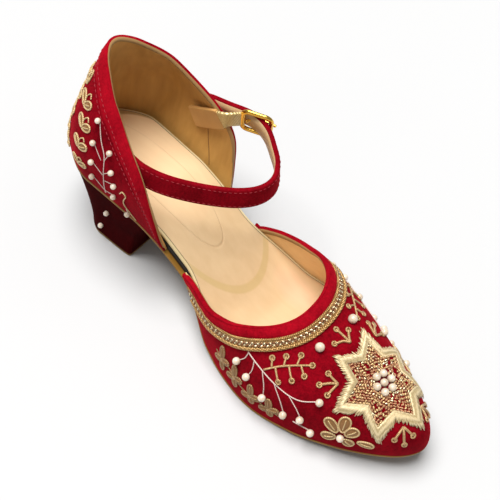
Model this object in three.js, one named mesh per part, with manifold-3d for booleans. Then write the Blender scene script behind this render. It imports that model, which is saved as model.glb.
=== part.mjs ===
// Block heel shoe, left foot: a two piece court shoe with a closed pointed toe,
// a separate heel counter, open sides, a buckled ankle strap and a covered block heel.
// Millimetres. X runs from the back of the heel to the toe, Y to the outer side of the foot, Z up.

import * as THREE from 'three';
import { mergeVertices } from 'three/addons/utils/BufferGeometryUtils.js';
import Module from 'manifold-3d';

// Driving dimensions
const LENGTH = 245;
const GAP = 0.3;
const SEAT_CLEAR = 0.1;
const OUTSOLE = 1.8;
const BOARD = 3.8;
const SOCK = 2.2;
const BOARD_CLEAR = 0.15;
const SOCK_CLEAR = 0.9;
const VAMP_WALL = 1.8;
const COUNTER_WALL = 2.2;
const BINDING_WIDTH = 6;
const BINDING_STEP = 0.7;
const COLLAR_WIDTH = 8;
const COLLAR_STEP = 0.5;
const STEP_RUN = 0.4;
const BRAID_WIDTH = 6.8;
const BRAID_HEIGHT = 1.2;
const BRAID_MARGIN = 0.07;
const STAR_TIPS = [
  { turn: 0, reach: 28.3 },
  { turn: 56, reach: 29.8 },
  { turn: 106, reach: 30.4 },
  { turn: 153, reach: 29.6 },
  { turn: 202, reach: 28.5 },
  { turn: 250, reach: 31.2 },
  { turn: 301.5, reach: 29.6 },
];
const STAR_NOTCH = 19;
const STAR_REACH = 32;
const STAR_HEIGHT = 1.2;
const STAR_CENTRE = { x: 212, across: 0.51 };
const TOP_PIECE = 2.4;
const STRAP_WIDTH = 12.5;
const STRAP_THICK = 2.4;
const STRAP_POINT = 0.95;
const STRAP_NARROWING = 0.8;

// Plan of the last at the feather line: half width and centre line along the foot
const PLAN = [
  { x: 0, half: 0, centre: 2.5 },
  { x: 2.9, half: 11.9, centre: 2.5 },
  { x: 9.8, half: 20.3, centre: 2.6 },
  { x: 27.4, half: 27.6, centre: 3.2 },
  { x: 58.8, half: 27.0, centre: 2.3 },
  { x: 93.1, half: 26.5, centre: 2.7 },
  { x: 127.4, half: 37.8, centre: -0.5 },
  { x: 158.8, half: 43.0, centre: -4.0 },
  { x: 186.2, half: 38.0, centre: -6.9 },
  { x: 208.7, half: 29.9, centre: -8.2 },
  { x: 227.4, half: 20.0, centre: -9.6 },
  { x: 240.1, half: 9.9, centre: -10.6 },
  { x: LENGTH, half: 0, centre: -10.3 },
];

// Height of the underside of the outsole: heel seat, arch, flat ball and toe spring
const TREAD = [
  { x: 0, z: 44.0 },
  { x: 27, z: 42.1 },
  { x: 59, z: 39.6 },
  { x: 73.5, z: 34.7 },
  { x: 93, z: 23.5 },
  { x: 113, z: 11.3 },
  { x: 127, z: 3.5 },
  { x: 140, z: 0 },
  { x: 163, z: 0 },
  { x: 186, z: 1.9 },
  { x: 209, z: 5.2 },
  { x: 227, z: 9.0 },
  { x: LENGTH, z: 13.3 },
];

// Height of the vamp's crown over the feather line
const CROWN = [
  { x: 78.4, height: 65.5 },
  { x: 117.6, height: 61.1 },
  { x: 142.1, height: 56.6 },
  { x: 166.6, height: 48.7 },
  { x: 191.1, height: 41.3 },
  { x: 210.7, height: 33.8 },
  { x: 227.4, height: 25.8 },
  { x: 240.1, height: 15.2 },
  { x: LENGTH, height: 0 },
];

// Shape of a vamp section and of the throat cut into it
const SIDE_POWER = 2.71;
const TOP_POWER = 2.23;
const CROWN_SHIFT = -6.0;
const CROWN_SHIFT_HALF = 29.4;
const VAMP_REAR = { inner: 95.5, outer: 92 };
const VAMP_REAR_LIFT = 0.012;
const VAMP_OUTER_END = 0.972;
const THROAT_FRONT = 162.9;
const THROAT_POWER = { inner: 2.28, outer: 2.4 };
const THROAT_LEAN = -0.03;

// Heel counter: topline height along the foot, and swell and forward lean up the wall
const TOPLINE = [
  { x: 0, height: 73.2 },
  { x: 11.8, height: 69.1 },
  { x: 27.4, height: 61.4 },
  { x: 44.1, height: 51.1 },
  { x: 58.8, height: 40.9 },
  { x: 70.6, height: 29.0 },
  { x: 81, height: 4.2 },
];
const WALL = [
  { x: 0, swell: 1, lean: 0, aside: 0 },
  { x: 14.7, swell: 1.17, lean: 0.9, aside: -0.1 },
  { x: 29.4, swell: 1.25, lean: 3.4, aside: -0.4 },
  { x: 44.1, swell: 1.13, lean: 6.7, aside: -0.7 },
  { x: 58.8, swell: 0.875, lean: 9.8, aside: -0.8 },
  { x: 73.5, swell: 0.55, lean: 14.5, aside: -0.7 },
];
const COUNTER_FRONT = 81;

// Block heel: plan at the floor against plan at the seat
const HEEL_FRONT = 66;
const HEEL_FOOT = { back: 19, front: 57.5, scale: 0.885 };
const HEEL_INSET = 0.6;
const HEEL_FLARE = 1.5;

// Route of the ankle strap's middle line from inside the counter, round the instep and
// through the buckle to its free end; lean tips the strap's upper edge to its inner side
const STRAP_ROUTE = [
  { x: 50.0, y: -25.4, z: 82.5, lean: 12 },
  { x: 62.0, y: -25.5, z: 81.5, lean: 10 },
  { x: 74.0, y: -20.5, z: 78.8, lean: 9 },
  { x: 88.0, y: -9.5, z: 74.8, lean: 9 },
  { x: 100.5, y: 3.0, z: 71.7, lean: 9 },
  { x: 107.2, y: 14.0, z: 70.3, lean: 9 },
  { x: 108.4, y: 23.8, z: 70.6, lean: 9 },
  { x: 104.2, y: 31.6, z: 73.0, lean: 9 },
  { x: 96.4, y: 36.9, z: 77.0, lean: 9 },
  { x: 88.0, y: 40.4, z: 80.9, lean: 9 },
  { x: 78.0, y: 41.2, z: 82.2, lean: 10 },
  { x: 64.0, y: 39.4, z: 79.6, lean: 10 },
  { x: 47.0, y: 38.6, z: 75.0, lean: 9 },
];

// Buckle: a rounded wire frame tipped across the strap, its prong, and the elastic tab that holds it
const BUCKLE_AT = 0.808;
const BUCKLE_LONG = 15;
const BUCKLE_WIDE = 16.2;
const BUCKLE_ROUND = 3.5;
const BUCKLE_WIRE = 1.25;
const BUCKLE_TIP = 24;
const BUCKLE_SINK = 0.5;
const PRONG_WIRE = 0.8;
const PRONG_SLOT = { long: 6, wide: 2.6, deep: 8, at: -3.6 };
const TAB_WIDTH = 11;
const TAB_THICK = 1.5;
const TAB_BACK = 0.8;
const TAB_ROUTE = [
  { x: 49.0, y: 31.0, z: 69.0, lean: -3 },
  { x: 58.0, y: 30.5, z: 75.0, lean: -4 },
  { x: 68.4, y: 30.7, z: 82.2, lean: -6 },
];

// Pitch of the facets
const VAMP_COLUMNS = 56;
const VAMP_ROWS = 10;
const RIM_CROWDING = 1.6;
const COUNTER_COLUMNS = 44;
const COUNTER_ROWS = 6;
const SOLE_STATIONS = 60;
const SOLE_COLUMNS = 2;
const HEEL_STATIONS = 12;
const HEEL_LEVELS = 6;
const STRAP_STEPS = 60;
const WIRE_SIDES = 8;
const PATH_SAMPLES = 48;
const COLUMN_CROWDING = 0.06;
const TAB_STEPS = 14;
const PRONG_STEPS = 18;
const CORNER_STEPS = 4;

// Monotone cubic through a table's column, with the table's x bent by warp
function column(rows, name, warp = (x) => x) {
  const xs = rows.map((row) => warp(row.x));
  const ys = rows.map((row) => row[name]);
  const last = xs.length - 1;
  const step = xs.slice(1).map((x, i) => x - xs[i]);
  const rise = step.map((h, i) => (ys[i + 1] - ys[i]) / h);
  const slope = xs.map((x, i) => {
    if (i === 0) return endSlope(step[0], step[1], rise[0], rise[1]);
    if (i === last) return endSlope(step[last - 1], step[last - 2], rise[last - 1], rise[last - 2]);
    if (rise[i - 1] * rise[i] <= 0) return 0;
    const before = 2 * step[i] + step[i - 1];
    const after = step[i] + 2 * step[i - 1];
    return (before + after) / (before / rise[i - 1] + after / rise[i]);
  });
  return (at) => {
    const x = Math.min(Math.max(warp(at), xs[0]), xs[last]);
    let i = 0;
    while (i < last - 1 && x > xs[i + 1]) i += 1;
    const h = step[i];
    const s = (x - xs[i]) / h;
    const from = (1 + 2 * s) * (1 - s) ** 2 * ys[i] + s * (1 - s) ** 2 * h * slope[i];
    const to = s * s * (3 - 2 * s) * ys[i + 1] + s * s * (s - 1) * h * slope[i + 1];
    return from + to;
  };
}

function endSlope(near, far, first, second) {
  const slope = ((2 * near + far) * first - near * second) / (near + far);
  if (slope * first <= 0) return 0;
  if (first * second <= 0 && Math.abs(slope) > 3 * Math.abs(first)) return 3 * first;
  return slope;
}

// Stations crowd towards heel and toe, so both ends of the plan come out round
const stationAngle = (x) => Math.acos(1 - (2 * Math.min(Math.max(x, 0), LENGTH)) / LENGTH);
const stationX = (angle) => (LENGTH * (1 - Math.cos(angle))) / 2;

const halfWidth = column(PLAN, 'half', stationAngle);
const centreLine = column(PLAN, 'centre', stationAngle);
const tread = column(TREAD, 'z');
const crown = column(CROWN, 'height', stationAngle);
const topline = column(TOPLINE, 'height');
const swell = column(WALL, 'swell');
const lean = column(WALL, 'lean');
const aside = column(WALL, 'aside');

const FEATHER = OUTSOLE + GAP + SEAT_CLEAR;
const feather = (x) => tread(x) + FEATHER;
const signedPower = (value, power) => Math.sign(value) * Math.abs(value) ** power;

// A point of the vamp: across is 0 on the inner side's feather line and 1 on the outer side's
function vampPoint(x, across) {
  const angle = Math.PI * across;
  const half = halfWidth(x);
  const side = signedPower(Math.cos(angle), 2 / SIDE_POWER);
  const rise = Math.abs(Math.sin(angle)) ** (2 / TOP_POWER);
  const shift = CROWN_SHIFT * rise * Math.min(1, half / CROWN_SHIFT_HALF);
  return new THREE.Vector3(x, centreLine(x) - half * side + shift, feather(x) + crown(x) * rise);
}

// A point of the counter: along runs from -1 on the inner side, round the heel, to 1 on the outer side
function counterPoint(along, height) {
  const x = counterStation(along);
  const y = centreLine(x) + Math.sign(along) * halfWidth(x) * swell(height);
  return new THREE.Vector3(x + lean(height), y + aside(height), feather(x) + height);
}

const counterStation = (along) => (COUNTER_FRONT * (1 - Math.cos(Math.PI * along))) / 2;

// The vamp as a half ball, its pole line spread out: a direction stands for each point of the vamp
function vampDirection(x, across) {
  const angle = stationAngle(x);
  const turn = Math.PI * across;
  const flat = Math.sin(angle);
  return new THREE.Vector3(-Math.cos(angle), -flat * Math.cos(turn), flat * Math.sin(turn));
}

function vampFromDirection(direction) {
  const unit = direction.clone().normalize();
  const x = stationX(Math.acos(Math.min(1, Math.max(-1, -unit.x))));
  return vampPoint(x, Math.atan2(Math.max(unit.z, 0), -unit.y) / Math.PI);
}

// Where the vamp starts along the foot: a little further back on the outer side
const vampRear = (along) => VAMP_REAR.inner + (VAMP_REAR.outer - VAMP_REAR.inner) * along;

// Throat curve: from the inner rear corner, round the instep, to the outer rear corner
function throatDirection(along) {
  const angle = Math.PI * along;
  const power = 2 / (along < 0.5 ? THROAT_POWER.inner : THROAT_POWER.outer);
  const forward = Math.abs(Math.sin(angle)) ** power;
  const side = signedPower(Math.cos(angle), power) + THROAT_LEAN * forward;
  const rear = vampRear(along);
  const x = rear + (THROAT_FRONT - rear) * forward;
  const across = Math.acos(signedPower(Math.max(-1, Math.min(1, side)), SIDE_POWER / 2)) / Math.PI;
  return vampDirection(x, Math.min(1 - VAMP_REAR_LIFT, Math.max(VAMP_REAR_LIFT, across)));
}

function rimDirection(along) {
  const rear = stationAngle(vampRear(along));
  const turn = (Math.PI - rear) * (2 * along - 1);
  return new THREE.Vector3(Math.cos(turn), Math.sin(turn), 0);
}

// One line across the vamp from the throat down to the rim, with its length
function vampPath(along) {
  const from = throatDirection(along);
  const to = rimDirection(along);
  const points = [];
  for (let i = 0; i <= PATH_SAMPLES; i += 1) {
    points.push(vampFromDirection(from.clone().lerp(to, i / PATH_SAMPLES)));
  }
  const reach = [0];
  for (let i = 1; i <= PATH_SAMPLES; i += 1) {
    reach.push(reach[i - 1] + points[i].distanceTo(points[i - 1]));
  }
  const total = reach[PATH_SAMPLES];
  const at = (distance) => {
    let i = 0;
    while (i < PATH_SAMPLES - 1 && reach[i + 1] < distance) i += 1;
    const part = (distance - reach[i]) / Math.max(reach[i + 1] - reach[i], 1e-6);
    const share = (i + Math.min(1, Math.max(0, part))) / PATH_SAMPLES;
    return vampFromDirection(from.clone().lerp(to, share));
  };
  return { total, at };
}

// Trim at the throat narrows where the throat runs down to the sole
const TRIM_SPARE = 3;
const TRIM_MARGIN = 0.8;
const TRIM_ROOM = BINDING_WIDTH + BRAID_WIDTH + TRIM_SPARE;
const trimScale = (total) => Math.min(1, (total - TRIM_MARGIN) / TRIM_ROOM);

// Columns crowd a little at the rear corners of the vamp
function spread(i, count) {
  const even = i / count;
  return even - COLUMN_CROWDING * Math.sin(2 * Math.PI * even);
}

// The vamp stops a little short of its curve's outer rear corner
const vampSpread = (i, count) => VAMP_OUTER_END * spread(i, count);

// Outward normals of a grid of points, with grid[row][column] wound so that the cross product faces out
function gridNormals(grid, flip) {
  const rows = grid.length;
  const columns = grid[0].length;
  return grid.map((line, r) => line.map((point, c) => {
    const down = grid[Math.min(r + 1, rows - 1)][c].clone().sub(grid[Math.max(r - 1, 0)][c]);
    const over = line[Math.min(c + 1, columns - 1)].clone().sub(line[Math.max(c - 1, 0)]);
    return down.cross(over).multiplyScalar(flip).normalize();
  }));
}

const offsetGrid = (grid, normals, amount) => grid.map((line, r) => line.map(
  (point, c) => point.clone().addScaledVector(normals[r][c], amount(r, c)),
));

// A closed wall between two grids of the same size
function wallGeometry(outer, inner, flip) {
  const rows = outer.length;
  const columns = outer[0].length;
  const positions = [...outer.flat(), ...inner.flat()].flatMap((p) => p.toArray());
  const faces = [];
  const quad = (a, b, c, d) => faces.push(a, b, c, a, c, d);
  const out = (r, c) => r * columns + c;
  const into = (r, c) => rows * columns + r * columns + c;
  for (let r = 0; r < rows - 1; r += 1) {
    for (let c = 0; c < columns - 1; c += 1) {
      quad(out(r, c), out(r + 1, c), out(r + 1, c + 1), out(r, c + 1));
      quad(into(r, c), into(r, c + 1), into(r + 1, c + 1), into(r + 1, c));
    }
  }
  for (let c = 0; c < columns - 1; c += 1) {
    quad(out(0, c), out(0, c + 1), into(0, c + 1), into(0, c));
    quad(out(rows - 1, c + 1), out(rows - 1, c), into(rows - 1, c), into(rows - 1, c + 1));
  }
  for (let r = 0; r < rows - 1; r += 1) {
    quad(out(r + 1, 0), out(r, 0), into(r, 0), into(r + 1, 0));
    quad(out(r, columns - 1), out(r + 1, columns - 1), into(r + 1, columns - 1), into(r, columns - 1));
  }
  if (flip < 0) faces.reverse();
  return indexed(positions, faces);
}

function indexed(positions, faces) {
  const geometry = new THREE.BufferGeometry();
  geometry.setAttribute('position', new THREE.Float32BufferAttribute(positions, 3));
  geometry.setIndex(faces);
  return geometry;
}

// Rings of equal length joined into a closed body, capped flat at both ends
function loftGeometry(rings) {
  const count = rings[0].length;
  const positions = rings.flat().flatMap((p) => p.toArray());
  const faces = [];
  for (let r = 0; r < rings.length - 1; r += 1) {
    for (let i = 0; i < count; i += 1) {
      const j = (i + 1) % count;
      const low = r * count;
      const high = low + count;
      faces.push(low + i, low + j, high + j, low + i, high + j, high + i);
    }
  }
  capFaces(rings[0]).forEach(([a, b, c]) => faces.push(c, b, a));
  const top = (rings.length - 1) * count;
  capFaces(rings[rings.length - 1]).forEach(([a, b, c]) => faces.push(top + a, top + b, top + c));
  return indexed(positions, faces);
}

// Triangles that close a ring, wound as the ring is
function capFaces(ring) {
  const normal = new THREE.Vector3();
  ring.forEach((point, i) => {
    const next = ring[(i + 1) % ring.length];
    normal.add(point.clone().sub(ring[0]).cross(next.clone().sub(ring[0])));
  });
  const axis = normal.clone().normalize();
  const right = new THREE.Vector3(axis.y, axis.z, axis.x).cross(axis).normalize();
  const up = axis.clone().cross(right);
  const flat = ring.map((point) => new THREE.Vector2(point.dot(right), point.dot(up)));
  return THREE.ShapeUtils.triangulateShape(flat, []).map(([a, b, c]) => {
    const turn = flat[b].clone().sub(flat[a]).cross(flat[c].clone().sub(flat[a]));
    return turn > 0 ? [a, b, c] : [a, c, b];
  });
}

// Sole outline moved in by an inset: pairs of inner side and outer side points from heel to toe
function solePairs(inset, stations, firstAngle = 0, lastAngle = Math.PI) {
  const side = (angle, sign) => {
    const x = stationX(angle);
    return new THREE.Vector2(x, centreLine(x) + sign * halfWidth(x));
  };
  const moved = (angle, sign) => {
    const reach = 0.01;
    const before = angle - reach < 0 ? side(reach - angle, -sign) : side(angle - reach, sign);
    const beyond = angle + reach - Math.PI;
    const after = beyond > 0 ? side(Math.PI - beyond, -sign) : side(angle + reach, sign);
    const along = after.sub(before).normalize();
    const inward = new THREE.Vector2(along.y, -along.x).multiplyScalar(sign * inset);
    return side(angle, sign).add(inward);
  };
  return Array.from({ length: stations + 1 }, (unused, i) => {
    const angle = firstAngle + ((lastAngle - firstAngle) * i) / stations;
    return { inner: moved(angle, -1), outer: moved(angle, 1) };
  });
}

// A layer of the sole between two heights over the tread line
function soleLayer(inset, low, high) {
  const pairs = solePairs(inset, SOLE_STATIONS);
  const shares = Array.from({ length: SOLE_COLUMNS + 1 }, (unused, c) => c / SOLE_COLUMNS);
  const level = (lift) => pairs.map(({ inner, outer }) => shares.map((share) => {
    const flat = inner.clone().lerp(outer, share);
    return new THREE.Vector3(flat.x, flat.y, tread(flat.x) + lift);
  }));
  const merged = mergeVertices(wallGeometry(level(high), level(low), 1), 1e-4);
  return withoutSlivers(merged);
}

// Faces that closed up at the heel and toe points are dropped
function withoutSlivers(geometry) {
  const index = geometry.getIndex().array;
  const kept = [];
  for (let i = 0; i < index.length; i += 3) {
    const [a, b, c] = index.slice(i, i + 3);
    if (a !== b && b !== c && c !== a) kept.push(a, b, c);
  }
  geometry.setIndex(kept);
  return geometry;
}

const wasm = await Module();
wasm.setup();

function solid(geometry) {
  const bare = geometry.clone();
  bare.deleteAttribute('normal');
  bare.deleteAttribute('uv');
  const merged = withoutSlivers(mergeVertices(bare, 1e-4));
  const vertProperties = new Float32Array(merged.getAttribute('position').array);
  const triVerts = new Uint32Array(merged.getIndex().array);
  return new wasm.Manifold(new wasm.Mesh({ numProp: 3, vertProperties, triVerts }));
}

function geometryOf(manifold) {
  const mesh = manifold.getMesh();
  return indexed(Array.from(mesh.vertProperties), Array.from(mesh.triVerts));
}

// Lines of the vamp from the throat to the rim, with the rows that rise as binding
function vampGrid() {
  const columns = VAMP_COLUMNS;
  const lines = Array.from({ length: columns + 1 }, (unused, c) => vampPath(vampSpread(c, columns)));
  const grid = [];
  const raised = [];
  const addRow = (distance, step) => {
    grid.push(lines.map((line) => line.at(distance(line.total))));
    raised.push(step);
  };
  const bound = (total) => BINDING_WIDTH * trimScale(total);
  addRow(() => 0, BINDING_STEP);
  addRow((total) => bound(total) / 2, BINDING_STEP);
  addRow(bound, BINDING_STEP);
  const start = (total) => bound(total) + STEP_RUN * trimScale(total);
  for (let r = 0; r <= VAMP_ROWS; r += 1) {
    const share = 1 - (1 - r / VAMP_ROWS) ** RIM_CROWDING;
    addRow((total) => start(total) + (total - start(total)) * share, 0);
  }
  return { grid, raised, normals: gridNormals(grid, 1) };
}

// Vamp: hollow toe with a raised binding along the throat
function vampGeometry() {
  const { grid, raised, normals } = vampGrid();
  const outer = offsetGrid(grid, normals, (r) => raised[r]);
  const inner = offsetGrid(grid, normals, () => -VAMP_WALL);
  inner[inner.length - 1].forEach((point) => {
    point.z = feather(point.x);
  });
  return wallGeometry(outer, inner, 1);
}

// Braid: a flat band on the vamp along the throat, just off the binding
function braidGeometry() {
  const lines = Array.from({ length: VAMP_COLUMNS + 1 }, (unused, c) => {
    const along = BRAID_MARGIN + (1 - 2 * BRAID_MARGIN) * spread(c, VAMP_COLUMNS);
    return vampPath(along);
  });
  const from = BINDING_WIDTH + STEP_RUN + 2 * GAP;
  const shares = [0, 0.12, 0.88, 1];
  const heights = [0.55, 1, 1, 0.55];
  const grid = shares.map((share) => lines.map(
    (line) => line.at((from + BRAID_WIDTH * share) * trimScale(line.total)),
  ));
  const normals = gridNormals(grid, 1);
  const outer = offsetGrid(grid, normals, (r) => GAP + BRAID_HEIGHT * heights[r]);
  return wallGeometry(outer, offsetGrid(grid, normals, () => GAP), 1);
}

// Counter: hollow heel cup with a collar band along its top
function counterGeometry() {
  const grid = [];
  const raised = [];
  const addRow = (drop, step) => {
    grid.push(Array.from({ length: COUNTER_COLUMNS + 1 }, (unused, c) => {
      const along = (2 * c) / COUNTER_COLUMNS - 1;
      const top = topline(counterStation(along));
      return counterPoint(along, top - drop(top));
    }));
    raised.push(step);
  };
  const band = (top) => Math.min(COLLAR_WIDTH, 0.4 * top);
  addRow(() => 0, COLLAR_STEP);
  addRow((top) => band(top) / 2, COLLAR_STEP);
  addRow(band, COLLAR_STEP);
  for (let r = 0; r <= COUNTER_ROWS; r += 1) {
    const start = (top) => Math.min(band(top) + STEP_RUN, 0.45 * top);
    addRow((top) => start(top) + ((top - start(top)) * r) / COUNTER_ROWS, 0);
  }
  const normals = gridNormals(grid, -1);
  const outer = offsetGrid(grid, normals, (r) => raised[r]);
  const inner = offsetGrid(grid, normals, () => -COUNTER_WALL);
  inner[inner.length - 1].forEach((point) => {
    point.z = feather(point.x);
  });
  return wallGeometry(outer, inner, -1);
}

// Arc lengths along one vamp section, measured from the inner side's feather line
function vampArc(x) {
  const reach = [0];
  for (let i = 1; i <= PATH_SAMPLES; i += 1) {
    const step = vampPoint(x, i / PATH_SAMPLES).distanceTo(vampPoint(x, (i - 1) / PATH_SAMPLES));
    reach.push(reach[i - 1] + step);
  }
  return reach;
}

// A point of the vamp by real distances from a start point: forward along the foot and round the section
function vampByDistance(start, forward, round) {
  const slope = vampPoint(start.x + 1, start.across).distanceTo(vampPoint(start.x, start.across));
  const x = Math.min(start.x + forward / slope, LENGTH - 0.5);
  const reach = vampArc(x);
  const middle = start.across * PATH_SAMPLES;
  const from = Math.floor(middle);
  const next = Math.min(from + 1, PATH_SAMPLES);
  const target = reach[from] + (middle - from) * (reach[next] - reach[from]) + round;
  let i = 0;
  while (i < PATH_SAMPLES - 1 && reach[i + 1] < target) i += 1;
  const part = (target - reach[i]) / (reach[i + 1] - reach[i]);
  return { x, across: Math.min(0.999, Math.max(0.001, (i + part) / PATH_SAMPLES)) };
}

function vampNormal(x, across) {
  const along = vampPoint(x + 0.2, across).sub(vampPoint(x - 0.2, across));
  const over = vampPoint(x, across + 0.003).sub(vampPoint(x, across - 0.003));
  return along.cross(over).normalize();
}

// Star: a shell just off the vamp, cut by a star shaped prism that stands on the toe
function starGeometry() {
  const corners = STAR_TIPS.flatMap((tip, k) => {
    const next = k + 1 < STAR_TIPS.length ? STAR_TIPS[k + 1].turn : 360;
    return [tip, { turn: (tip.turn + next) / 2, reach: STAR_NOTCH }];
  });
  const outline = corners.map((corner) => {
    const turn = THREE.MathUtils.degToRad(corner.turn);
    const forward = corner.reach * Math.cos(turn);
    const { x, across } = vampByDistance(STAR_CENTRE, forward, corner.reach * Math.sin(turn));
    return vampPoint(x, across);
  });
  const axis = vampNormal(STAR_CENTRE.x, STAR_CENTRE.across);
  const level = (lift) => outline.map((point) => point.clone().addScaledVector(axis, lift));
  const prism = loftGeometry([level(-STAR_REACH), level(STAR_REACH)]);
  const { grid, normals } = vampGrid();
  const top = offsetGrid(grid, normals, () => GAP + STAR_HEIGHT);
  const shell = wallGeometry(top, offsetGrid(grid, normals, () => GAP), 1);
  return geometryOf(solid(shell).intersect(solid(prism)));
}

// Heel: the seat's outline with a flat front, drawn in towards the floor
function heelRing(share, height) {
  const foot = HEEL_FOOT;
  const ease = share ** HEEL_FLARE;
  const pairs = solePairs(HEEL_INSET, HEEL_STATIONS, 0, stationAngle(HEEL_FRONT));
  const outerSide = pairs.slice(1).map((pair) => pair.outer).reverse();
  const outline = [...outerSide, ...pairs.map((pair) => pair.inner)];
  const centre = PLAN[0].centre;
  const back = foot.back * (1 - ease);
  const front = foot.front + (HEEL_FRONT - foot.front) * ease;
  const scale = foot.scale + (1 - foot.scale) * ease;
  return outline.map((point) => {
    const x = back + ((front - back) * point.x) / HEEL_FRONT;
    return new THREE.Vector3(x, centre + (point.y - centre) * scale, height(point.x));
  });
}

function heelBlockGeometry() {
  const floor = TOP_PIECE + GAP;
  const rings = Array.from({ length: HEEL_LEVELS + 1 }, (unused, i) => {
    const share = i / HEEL_LEVELS;
    return heelRing(share, (x) => floor + (tread(x) - GAP - floor) * share);
  });
  return loftGeometry(rings);
}

function topPieceGeometry() {
  return loftGeometry([heelRing(0, () => 0), heelRing(0, () => TOP_PIECE)]);
}

// A flat band along a route: its width stands up, tipped by the route's lean
function bandFrame(route) {
  const knots = route.map((row) => new THREE.Vector3(row.x, row.y, row.z));
  const curve = new THREE.CatmullRomCurve3(knots, false, 'centripetal');
  const leanAt = (t) => {
    const place = t * (route.length - 1);
    const i = Math.min(Math.floor(place), route.length - 2);
    return THREE.MathUtils.degToRad(route[i].lean + (route[i + 1].lean - route[i].lean) * (place - i));
  };
  return (t) => {
    const tangent = curve.getTangent(t);
    const out = tangent.clone().cross(new THREE.Vector3(0, 0, 1)).normalize();
    const up = out.clone().cross(tangent).normalize();
    const tip = leanAt(t);
    const wide = up.clone().multiplyScalar(Math.cos(tip)).addScaledVector(out, -Math.sin(tip));
    const thick = out.clone().multiplyScalar(Math.cos(tip)).addScaledVector(up, Math.sin(tip));
    return { point: curve.getPoint(t), tangent, wide, thick };
  };
}

// Section of a band: a flat strip with eased corners, as shares of half width and half thickness
const BAND_SECTION = [
  [-1, -0.4], [-0.93, -1], [0.93, -1], [1, -0.4], [1, 0.4], [0.93, 1], [-0.93, 1], [-1, 0.4],
];

function bandGeometry(route, width, thick, steps, taperFrom = 1) {
  const frameAt = bandFrame(route);
  const rings = Array.from({ length: steps + 1 }, (unused, i) => {
    const t = i / steps;
    const frame = frameAt(t);
    const tip = taperFrom < 1 ? Math.max(0, (t - taperFrom) / (1 - taperFrom)) : 0;
    const narrow = Math.sqrt(1 - STRAP_NARROWING * tip ** 2);
    return BAND_SECTION.map(([w, h]) => frame.point.clone()
      .addScaledVector(frame.wide, (w * width * narrow) / 2)
      .addScaledVector(frame.thick, (h * thick) / 2));
  });
  return loftGeometry(rings);
}

// Buckle frame: a ring of round wire through a rounded rectangle
function buckleAxes() {
  const frame = bandFrame(STRAP_ROUTE)(BUCKLE_AT);
  const tip = THREE.MathUtils.degToRad(BUCKLE_TIP);
  const toe = frame.tangent.clone().negate();
  const long = toe.clone().multiplyScalar(Math.cos(tip)).addScaledVector(frame.thick, Math.sin(tip));
  const centre = frame.point.clone().addScaledVector(frame.thick, -BUCKLE_SINK);
  return { centre, long, wide: frame.wide, toe, out: frame.thick };
}

function wireGeometry(path, wire, closed) {
  const count = path.length;
  const rings = path.map((point, i) => {
    const before = path[closed ? (i + count - 1) % count : Math.max(i - 1, 0)];
    const after = path[closed ? (i + 1) % count : Math.min(i + 1, count - 1)];
    const along = after.clone().sub(before).normalize();
    const side = along.clone().cross(buckleAxes().out).normalize();
    const over = along.clone().cross(side);
    return Array.from({ length: WIRE_SIDES }, (unused, k) => {
      const turn = (2 * Math.PI * k) / WIRE_SIDES;
      const across = wire * Math.cos(turn);
      return point.clone().addScaledVector(side, across).addScaledVector(over, wire * Math.sin(turn));
    });
  });
  if (!closed) return loftGeometry(rings);
  const positions = rings.flat().flatMap((p) => p.toArray());
  const faces = [];
  for (let i = 0; i < count; i += 1) {
    const j = (i + 1) % count;
    for (let k = 0; k < WIRE_SIDES; k += 1) {
      const next = (k + 1) % WIRE_SIDES;
      const [a, b] = [i * WIRE_SIDES + k, i * WIRE_SIDES + next];
      const [c, d] = [j * WIRE_SIDES + next, j * WIRE_SIDES + k];
      faces.push(a, b, c, a, c, d);
    }
  }
  return indexed(positions, faces);
}

function buckleFrameGeometry() {
  const { centre, long, wide } = buckleAxes();
  const path = [];
  const corners = [[1, 1], [-1, 1], [-1, -1], [1, -1]];
  corners.forEach(([sx, sy], corner) => {
    for (let i = 0; i <= CORNER_STEPS; i += 1) {
      const turn = (Math.PI / 2) * (corner + i / CORNER_STEPS);
      const u = sx * (BUCKLE_LONG / 2 - BUCKLE_ROUND) + BUCKLE_ROUND * Math.cos(turn);
      const v = sy * (BUCKLE_WIDE / 2 - BUCKLE_ROUND) + BUCKLE_ROUND * Math.sin(turn);
      path.push(centre.clone().addScaledVector(long, u).addScaledVector(wide, v));
    }
  });
  return wireGeometry(path, BUCKLE_WIRE, true);
}

function buckleProngGeometry() {
  const { centre, toe, out } = buckleAxes();
  const rise = (BUCKLE_LONG / 2) * Math.sin(THREE.MathUtils.degToRad(BUCKLE_TIP));
  const reach = (BUCKLE_LONG / 2) * Math.cos(THREE.MathUtils.degToRad(BUCKLE_TIP));
  const over = BUCKLE_WIRE + PRONG_WIRE + GAP;
  const knots = [
    [-reach + over, -rise],
    [-reach + over + 1, -0.3],
    [-reach + over + 3.2, BUCKLE_SINK + STRAP_THICK / 2 + PRONG_WIRE + GAP],
    [0, rise / 2 + over / 2 + 0.6],
    [reach, rise + over],
    [reach + 1.6, rise + over + 0.1],
  ];
  const points = knots.map(([u, v]) => centre.clone().addScaledVector(toe, u).addScaledVector(out, v));
  const curve = new THREE.CatmullRomCurve3(points, false, 'centripetal');
  return wireGeometry(curve.getPoints(PRONG_STEPS), PRONG_WIRE, false);
}

// Strap: the band with a slot for the prong
function strapGeometry() {
  const band = bandGeometry(STRAP_ROUTE, STRAP_WIDTH, STRAP_THICK, STRAP_STEPS, STRAP_POINT);
  const { centre, toe, wide, out } = buckleAxes();
  const box = new THREE.BoxGeometry(PRONG_SLOT.long, PRONG_SLOT.wide, PRONG_SLOT.deep);
  const place = new THREE.Matrix4().makeBasis(toe, wide, toe.clone().cross(wide));
  place.setPosition(centre.clone().addScaledVector(toe, PRONG_SLOT.at));
  box.applyMatrix4(place);
  return geometryOf(solid(band).subtract(solid(box)));
}

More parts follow.
